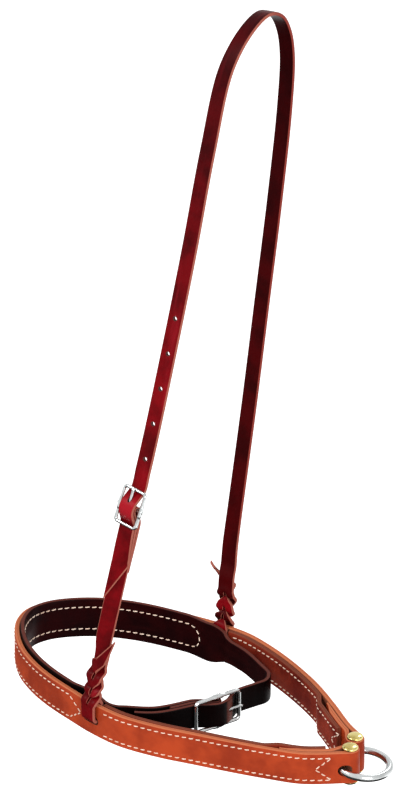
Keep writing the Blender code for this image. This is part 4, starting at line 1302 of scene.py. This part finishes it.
def jawPath():
    half = jawBuckle.half
    line = [(h, jawBuckle.outerLayer(h)) for h in spread(-jawStrap["turnBack"], 0.0, steps["fold"])]
    line += [(h, out) for h, out in reversed(jawBuckle.wrap())]
    line += [(h, jawBuckle.innerLayer(h)) for h in spread(0.0, -half, steps["fold"])]
    start = -jawRoute.zero
    line += [(h, 0.0) for h in spread(-half, start, steps["bend"])[1:]]
    widths = jawWidths(line, start, 1)
    stations = flatPath(jawRoute, line, 1.0, widths, thick=jawStrap["thick"])
    for place, (h, out) in zip(stations, line):
        place["thick"] = jawBuckle.foldThick(h)
    for s in spread(jawFirst, jawLast, steps["bend"])[1:-1]:
        centre, ahead, outward = planFrame(s, jawInset(s), band["width"] / 2)
        stations.append(station(centre, -axisZ, -outward, jawStrap["wide"], jawStrap["thick"]))
    seat = jawBuckle.billet(buckles["jawHeight"] * buckles["jawSettleShare"], steps["knot"])
    end = jawRoute.curve.length - jawRoute.zero
    line = [(h, 0.0) for h in spread(end, seat[0][0], steps["fold"])[:-1]] + seat
    low, out = seat[-1]
    line += [(h, out) for h in spread(low, -jawStrap["billetBelow"], steps["fold"])[1:]]
    billet = flatPath(jawRoute, line, 1.0, jawWidths(line, end, -1), thick=jawStrap["thick"])
    # across the bar's hump the crease goes below 0: a painted highlight there, and wrinkles
    creaseAt, creaseReach = buckles["jawCreaseShares"]
    for place, (h, out) in zip(billet, line):
        away = (h / jawBuckle.half - creaseAt) / creaseReach
        place["crease"] = -max(0.0, 1 - away * away)
    return stations + billet


def tongueCuts(section, holder, height):
    # opening in the fold for the curl, and the billet's hole for the shank
    origin, up, across, outward = holder.frame(height)
    origin = origin + outward * section.barOut
    slotWidth = buckles["tongue"] + 2 * buckles["tongueRoom"]
    aside = across * (slotWidth / 2)
    fold = tube([origin - aside, origin + aside], section.hug + section.fold / 2 + fitGap / 2,
                facets["fold"])
    farShare, liftShare, levelShare, deepShare = buckles["holeShares"]
    lift = section.restHeight * math.sin(buckles["lift"]) * liftShare
    level = mix(section.curl, section.restOut, levelShare)
    tall = max(slotWidth + lift, slotWidth * 1.01)
    centre = origin + up * (section.restHeight * farShare) + outward * (level + lift / 2)
    deep = section.restHeight * deepShare
    hole = stadiumCutter(centre, outward, across, up, tall, slotWidth, deep, facets["holeEnd"])
    return fold, hole


def punchCuts():
    cuts = []
    for k in range(crown["holes"]):
        height = buckles["cheekUp"] + crown["holeFirst"] + k * crown["holePitch"]
        place, up, across, outward = nearLeg.frame(height)
        place += across * crown["holeDrift"]
        reach = outward * (crown["thick"] * 2)
        cuts.append(tube([place - reach, place + reach], crown["hole"] / 2, facets["hole"]))
    return cuts


def bandCuts():
    # the slots of the two knots, and the ring's own slot turned about its middle
    cuts = []
    for s in (slotNearS, slotFarS):
        top = band["slotDepth"]
        bottom = top + faceOut + crown["thick"] / 2 + loopClear + fitGap
        centre, ahead, outward = planFrame(s, 0.0, (top + bottom) / 2)
        cuts.append(stadiumCutter(centre, ahead, axisZ, outward, crown["width"] + band["slotRoom"],
                                  bottom - top, band["thick"] + band["slotOver"],
                                  facets["slotEnd"]))
    half = ring["slotHeight"] / 2
    rim = ringRadius + ring["wire"] / 2 + ring["room"] - half
    inner = ringRadius - ring["wire"] / 2 - ring["innerRoom"]
    profile = []
    for k in range(25):
        angle = math.pi * (k / 24 - 0.5)
        profile.append((rim + half * math.cos(angle), half * math.sin(angle)))
    soft = ring["innerRound"]
    for sign in (1, -1):
        for k in range(7):
            angle = math.pi / 2 * (k / 6 if sign > 0 else 1 - k / 6)
            profile.append((inner + soft * (1 - math.sin(angle)),
                            sign * (half - soft * (1 - math.cos(angle)))))
    profile.append(profile[0])
    cuts.append(turned(profile, ringCentre, facets["slot"]))
    return cuts


crownFold, crownHole = tongueCuts(cheekBuckle, nearLeg, buckles["cheekUp"])
jawFold, jawHole = tongueCuts(jawBuckle, jawRoute, 0.0)
crownPiece = addPiece("crownStrap", strapMesh(crownPath()), crownLeather, "headstall",
                      "crown_strap")
cutPiece(crownPiece, punchCuts() + [crownHole], crownWall)
cheekStrap = addPiece("cheekPiece", strapMesh(cheekPath()), cheekLeather, "headstall",
                      "cheek_piece")
cutPiece(cheekStrap, [crownFold], crownWall)
outerBand = addPiece("outerBand", strapMesh(bandPath()), bandLeather, "noseband",
                     "outer_band")
cutPiece(outerBand, bandCuts(), bandWall)
addPiece("nearLegLining", strapMesh(liningPath(slotNearS, 0.0, 1)), liningLeather, "noseband",
         "near_leg_lining")
addPiece("farLegLining", strapMesh(liningPath(slotFarS, plan.length, -1)), liningLeather,
         "noseband", "far_leg_lining")
jawPiece = addPiece("jawStrap", strapMesh(jawPath()), jawLeather, "noseband",
                    "jaw_strap")
cutPiece(jawPiece, [jawFold, jawHole], crownWall)
print("straps made")


# Hardware

def frameOutline(section):
    # round-cornered outline through the outer bars, with a radius share that is larger at the
    # pin's bosses
    radius = section.wire * buckles["corner"]
    halfWidth = section.width / 2
    boss = buckles["bossHalf"]
    taper = buckles["bossTaperShare"]
    points = []
    for sx, sy in ((1, 1), (-1, 1), (-1, -1), (1, -1)):
        centre = (sx * (halfWidth - radius), sy * (section.half - radius))
        start = math.atan2(sy, sx) - math.pi / 4
        for k in range(13):
            angle = start + math.pi / 2 * k / 12
            points.append((centre[0] + radius * math.cos(angle),
                           centre[1] + radius * math.sin(angle)))
        if sx == sy:
            continue
        reach = section.half - radius
        for k in range(1, 24):
            points.append((sx * halfWidth, -sx * mix(reach, -reach, k / 24)))
    shares = []
    for x, y in points:
        side = smoothstep((boss * (1 + taper) - abs(y)) / (boss * taper))
        shares.append(mix(1.0, buckles["boss"], side if abs(x) > halfWidth * 0.98 else 0.0))
    return points, shares


def pinOutline(section):
    # (place across, radius share) along the pin, which stands a little out of the bosses
    reach = section.width / 2 + section.wire / 2 * buckles["boss"] + buckles["pinStand"]
    ends = []
    for k in range(9):
        angle = math.pi / 2 * k / 8
        ends.append((reach - buckles["pinStand"] * (1 - math.sin(angle)),
                     max(0.05, math.cos(angle))))
    return [(-x, share) for x, share in ends[::-1]] + ends


def tongueOutline(section):
    # (height, out) points from the curl round the bar to the tip, and their radius shares
    shape = []
    for k in range(41):
        angle = -buckles["curl"] * (1 - k / 40)
        shape.append((section.curl * math.sin(angle), section.curl * math.cos(angle)))
    bends = [(section.restHeight * far, mix(section.curl, section.restOut, out))
             for far, out in buckles["shankShares"]]
    tip = (section.restHeight + buckles["tipOver"], section.restOut - fitGap)
    shank = Curve([shape[-1]] + bends + [(section.restHeight, section.restOut), tip])
    shape += [tuple(shank.at(s)) for s in spread(0.0, shank.length, steps["tongue"])[1:]]
    shares = []
    for k in range(len(shape)):
        left = (len(shape) - 1 - k) * steps["tongue"]
        shares.append(math.sqrt(min(1.0, 0.3 + left / buckles["tipTaper"])))
    shares[-2:] = buckles["tipShares"]
    return shape, shares


def buildBuckle(prefix, node, section, holder, height, bodies):
    origin, up, across, outward = holder.frame(height)
    origin = origin + outward * section.barOut
    longSide = unit(up * math.cos(section.tilt) - outward * math.sin(section.tilt))
    outline, shares = frameOutline(section)
    points = [origin + across * x + longSide * y for x, y in outline]
    addPiece(prefix + "Frame", tube(points, section.wire / 2, facets["bar"], True, shares),
             nickel, bodies[0], node + "_frame")
    outline = pinOutline(section)
    points = [origin + across * x for x, share in outline]
    shares = [share for x, share in outline]
    addPiece(prefix + "Pin", tube(points, buckles["pin"] / 2, facets["bar"], False, shares),
             nickel, bodies[0], node + "_pin")
    outline, shares = tongueOutline(section)
    points = [origin + up * h + outward * out for h, out in outline]
    tongue = tube(points, buckles["tongue"] / 2, facets["tongue"], False, shares)
    addPiece(prefix + "Tongue", tongue, nickel, bodies[1], node + "_tongue")


buildBuckle("cheekBuckle", "cheek_buckle", cheekBuckle, nearLeg, buckles["cheekUp"],
            ("headstall", "cheek_tongue"))
buildBuckle("jawBuckle", "jaw_buckle", jawBuckle, jawRoute, 0.0, ("noseband", "jaw_tongue"))


def ringPoints():
    # middle line of the ring's wire, drooping from its heel behind the posts
    heel = ringCentre - endAhead * ringRadius
    outwards = endAhead * math.cos(ring["droop"]) - axisZ * math.sin(ring["droop"])
    points = []
    for k in range(160):
        angle = 2 * math.pi * k / 160
        points.append(heel + outwards * (ringRadius * (1 + math.cos(angle)))
                      + endAside * (ringRadius * math.sin(angle)))
    return points


addPiece("tieDownRing", tube(ringPoints(), ring["wire"] / 2, facets["ring"], True), nickel,
         "ring", "tie_down_ring")


def capDome(level, sign):
    # a domed cap from its flat side out: rounded rim, then the dome
    cap = posts["cap"] / 2
    rim = posts["capRim"]
    dome = [(cap - posts["capFoot"], level), (cap, level + sign * posts["capStep"])]
    for k in range(1, 20):
        angle = math.pi / 2 * k / 19
        dome.append((cap * math.cos(angle) ** posts["domePower"] if k < 19 else 0,
                     level + sign * (rim + (posts["capHeight"] - rim) * math.sin(angle))))
    return dome


def postProfile():
    # shaft, hollow from below for the screw, and its cap
    radius = posts["shaft"] / 2
    bore = posts["screwShank"] / 2 + fitGap
    bottom = -band["width"]
    top = bottom + posts["screwDepth"]
    shaft = [(0, top), (bore, top), (bore, bottom), (radius, bottom), (radius, fitGap)]
    return shaft + capDome(fitGap, 1)


def screwProfile(low):
    # bevelled shank, and its head below
    shank = posts["screwShank"] / 2
    top = posts["screwDepth"] - band["width"] - fitGap
    bevel = posts["screwBevel"]
    return [(0, top), (shank - bevel, top), (shank, top - bevel), (shank, low)] + capDome(low, -1)


for side, place in (("near", postNear), ("far", postFar)):
    addPiece(side + "Post", turned(postProfile(), place, facets["post"]), brass, "noseband",
             side + "_post")
    low = -band["width"] - fitGap
    screw = addPiece(side + "Screw", turned(screwProfile(low), place, facets["post"]), brass,
                     "noseband", side + "_screw")
    drive = boxCutter(place + axisZ * (low - posts["capHeight"]), axisX, Vector((0, 1, 0)), axisZ,
                      (posts["cap"], posts["driveWidth"], 2 * posts["driveDepth"]))
    cutPiece(screw, [drive], brass)
print("hardware made")


# Stitching: rows sewn through the band, its linings and the jaw strap

stitch = {"pitch": 5.25 * mm, "length": 3.9 * mm, "radius": 0.46 * mm, "inFromEdge": 3.7 * mm,
          "slant": math.radians(7), "sink": 0.55 * mm, "rise": 0.12 * mm,
          "sharp": math.radians(60)}
seams = {"noseFromSlot": 10 * mm, "nosePoint": 13 * mm, "farFromSlot": 24 * mm,
         "legFromSlot": 12 * mm, "legEnd": 13.7 * mm, "legPoint": 11.5 * mm, "step": 4 * mm}
seamTop = stitch["inFromEdge"]
seamBottom = band["width"] - seamTop
seamMiddle = band["width"] / 2


def faceFrame(s, drop, layer):
    # point on a sewn face and the way out of it
    if layer == "outer":
        centre, ahead, outward = planFrame(s, -band["thick"] / 2, drop)
        return centre, outward
    if layer == "jaw":
        inset = jawInset(s) + jawStrap["thick"] / 2
    else:
        inset = liningInset(s, 0.0 if layer == "near" else plan.length) + lining["thick"]
    centre, ahead, outward = planFrame(s, inset, drop)
    return centre, -outward


def addStitch(bm, twist, middle, along, out):
    # one stitch, a twisted thread that dips into the leather at both ends
    side = out.cross(along)
    rings = []
    for k in range(9):
        t = k / 8 * 2 - 1
        reach = stitch["length"] / 2 * t
        height = stitch["rise"] - stitch["sink"] * abs(t) ** 2.5
        radius = stitch["radius"] * (0.35 + 0.65 * math.sqrt(max(0.0, 1 - abs(t) ** 3)))
        ring = []
        for j in range(8):
            angle = 2 * math.pi * j / 8
            offset = side * math.cos(angle) * radius + out * math.sin(angle) * radius * 0.85
            vert = bm.verts.new(middle + along * reach + out * height + offset)
            ring.append((vert, t * 1.4 + j / 8))
        rings.append(ring)
    for first, second in zip(rings[:-1], rings[1:]):
        for j in range(8):
            k = (j + 1) % 8
            corners = (first[j], first[k], second[k], second[j])
            made = bm.faces.new([c[0] for c in corners])
            for loop, corner in zip(made.loops, corners):
                closing = k == 0 and corner in (first[0], second[0])
                loop[twist] = corner[1] + (1.0 if closing else 0.0)
    for ring in (rings[0], rings[-1]):
        bm.faces.new([c[0] for c in ring])


def sewRow(bm, twist, route, layer):
    # stitches along a route of (length along the band, drop below its top edge)
    line = Curve([(s, drop, 0) for s, drop in route], perSpan=1)
    count = max(1, round(line.length / stitch["pitch"]))
    for i in range(count):
        mid = (i + 0.5) * (line.length / count)
        start = line.at(mid - stitch["length"] / 2)
        stop = line.at(mid + stitch["length"] / 2)
        a, out = faceFrame(start[0], start[1], layer)
        b, out = faceFrame(stop[0], stop[1], layer)
        along = Matrix.Rotation(stitch["slant"], 3, out) @ (b - a).normalized()
        addStitch(bm, twist, (a + b) / 2, along, out)


def seamRows(start, stop):
    # the rows along the top and bottom edges
    count = max(2, round(abs(stop - start) / seams["step"]))
    return [[(mix(start, stop, k / count), drop) for k in range(count + 1)]
            for drop in (seamTop, seamBottom)]


def seamPoint(end, point):
    # two short rows that meet in a point
    return [[(end, seamTop), (point, seamMiddle)], [(point, seamMiddle), (end, seamBottom)]]


def legRoutes(slotS, endS, sign):
    # rows along one leg, closed by a point near the ring
    start = slotS - sign * seams["legFromSlot"]
    stop = endS + sign * seams["legEnd"]
    return seamRows(start, stop) + seamPoint(stop, stop + sign * seams["legPoint"])


def noseRoutes():
    # rows round the nose, closed by a point on the near side and a round end on the far side
    half = seamMiddle - seamTop
    point = slotNearS + seams["noseFromSlot"]
    start = point + seams["nosePoint"]
    stop = slotFarS - seams["farFromSlot"]
    bow = []
    for k in range(13):
        angle = math.pi * (k / 12 - 0.5)
        bow.append((stop + half * math.cos(angle), seamMiddle + half * math.sin(angle)))
    return seamRows(start, stop) + [bow] + seamPoint(start, point)


def sewSeam(name, groups):
    bm = bmesh.new()
    twist = bm.loops.layers.float.new("twist")
    for routes, layer in groups:
        for route in routes:
            sewRow(bm, twist, route, layer)
    addPiece(name, bm, thread, "noseband", sharp=stitch["sharp"])


nearRoutes = legRoutes(slotNearS, 0.0, 1)
farRoutes = legRoutes(slotFarS, plan.length, -1)
sewSeam("bandStitches", [(nearRoutes, "outer"), (farRoutes, "outer"), (noseRoutes(), "outer")])
sewSeam("liningStitches", [(nearRoutes, "near"), (farRoutes, "far")])
sewSeam("jawStitches", [(noseRoutes(), "jaw")])
print("stitches made")


# Floor, light and camera

studio = {"azimuth": 39.0, "elevation": 30.0, "lens": 800.0, "height": 0.568, "sensor": 36.0,
          "right": -0.0427, "up": -0.2703, "toward": -0.12, "floor": -0.86, "floorHalf": 60.0,
          "floorGlow": 0.55, "worldLight": 0.62}
lampTarget = (0, -0.05, -0.3)
lamps = {"key": {"place": (-1.1, -1.6, 1.5), "size": 0.7, "power": 30.0},
         "fill": {"place": (1.9, -1.2, 0.5), "size": 1.2, "power": 31.0},
         "back": {"place": (-0.3, 1.9, 1.2), "size": 1.0, "power": 12.0}}
cards = {"darkCardLow": {"place": (-0.5, -0.75, -0.85), "size": (2.4, 2.0),
                         "aim": (-0.5, -0.75, 0)},
         "darkCardLeft": {"place": (-0.62, -0.03, 0.16), "size": (0.22, 0.34),
                          "aim": (0.12, -0.06, -0.52)},
         "darkCardBack": {"place": (0.24, 0.6, 0.12), "size": (0.34, 0.22),
                          "aim": (0.12, -0.06, -0.52)}}
white = (1.0, 1.0, 1.0, 1.0)


def grey(value):
    return (value, value, value, 1.0)


def floorLook():
    # pale, glowing only for the camera and reflections, and clear from below
    look = Look("paleFloor")
    glow = look.blend(look.seen(), grey(0.0), white)
    look.set(Base_Color=grey(0.86), Roughness=0.9, Emission_Color=glow)
    look.set(Emission_Strength=studio["floorGlow"])
    below = look.node("ShaderNodeNewGeometry", output=6)
    base = Wire(look, look.shader.outputs[0])
    clear = look.node("ShaderNodeBsdfTransparent")
    both = look.node("ShaderNodeMixShader", None, {0: below, 1: base, 2: clear})
    look.feed(look.tree.nodes["Material Output"].inputs["Surface"], both)
    return look.material


def addFloor():
    bm = bmesh.new()
    bmesh.ops.create_grid(bm, size=studio["floorHalf"])
    floor = meshObject("floor", bm, floorLook(), move=False)
    floor.location = (0, 0, studio["floor"])


def addWorld():
    # white where the camera looks, dimmer as a light
    world = bpy.data.worlds.new("studioWorld")
    look = Look("studioWorld", world)
    look.set(Color=look.blend(look.seen(), grey(studio["worldLight"]), white), Strength=1.0)
    bpy.context.scene.world = world


def facing(place, target):
    return (Vector(place) - Vector(target)).to_track_quat("Z", "Y").to_euler()


def addLight(name, lamp):
    made = bpy.data.lights.new(name, "AREA")
    made.shape = "DISK"
    made.size = lamp["size"]
    made.energy = lamp["power"]
    item = addObject(name, made)
    item.location = lamp["place"]
    item.rotation_euler = facing(lamp["place"], lampTarget)


def addCard(name, card):
    # dark card that only reflections see, for the dark streaks of polished metal
    look = Look(name)
    shade = look.noise(look.place(), 4.0).ramp(0.3, 0.7, 0.7, 1.0)
    look.set(Base_Color=look.blend(shade, grey(0.02), grey(0.03)), Roughness=1.0)
    bm = bmesh.new()
    bmesh.ops.create_grid(bm, size=0.5)
    item = meshObject(name, bm, look.material, move=False)
    item.location = card["place"]
    item.scale = (*card["size"], 1.0)
    item.rotation_euler = facing(card["aim"], card["place"])
    for ray in ("camera", "diffuse", "transmission", "shadow"):
        setattr(item, "visible_" + ray, False)


addFloor()
addWorld()
for name, lamp in lamps.items():
    addLight(name, lamp)
for name, card in cards.items():
    addCard(name, card)

azimuth = math.radians(studio["azimuth"])
elevation = math.radians(studio["elevation"])
back = Vector((math.sin(azimuth) * math.cos(elevation), -math.cos(azimuth) * math.cos(elevation),
               math.sin(elevation)))
right = Vector((math.cos(azimuth), math.sin(azimuth), 0))
aim = right * studio["right"] + back.cross(right) * studio["up"] + back * studio["toward"]
camera = addObject("camera", bpy.data.cameras.new("camera"))
camera.data.lens = studio["lens"]
camera.data.sensor_width = studio["sensor"]
distance = studio["height"] * studio["lens"] / studio["sensor"]
camera.location = aim + back * distance
camera.rotation_euler = back.to_track_quat("Z", "Y").to_euler()
camera.data.clip_start = 0.1
camera.data.clip_end = 200.0
bpy.context.scene.camera = camera

bpy.context.scene.view_settings.view_transform = "Standard"
print("scene ready")
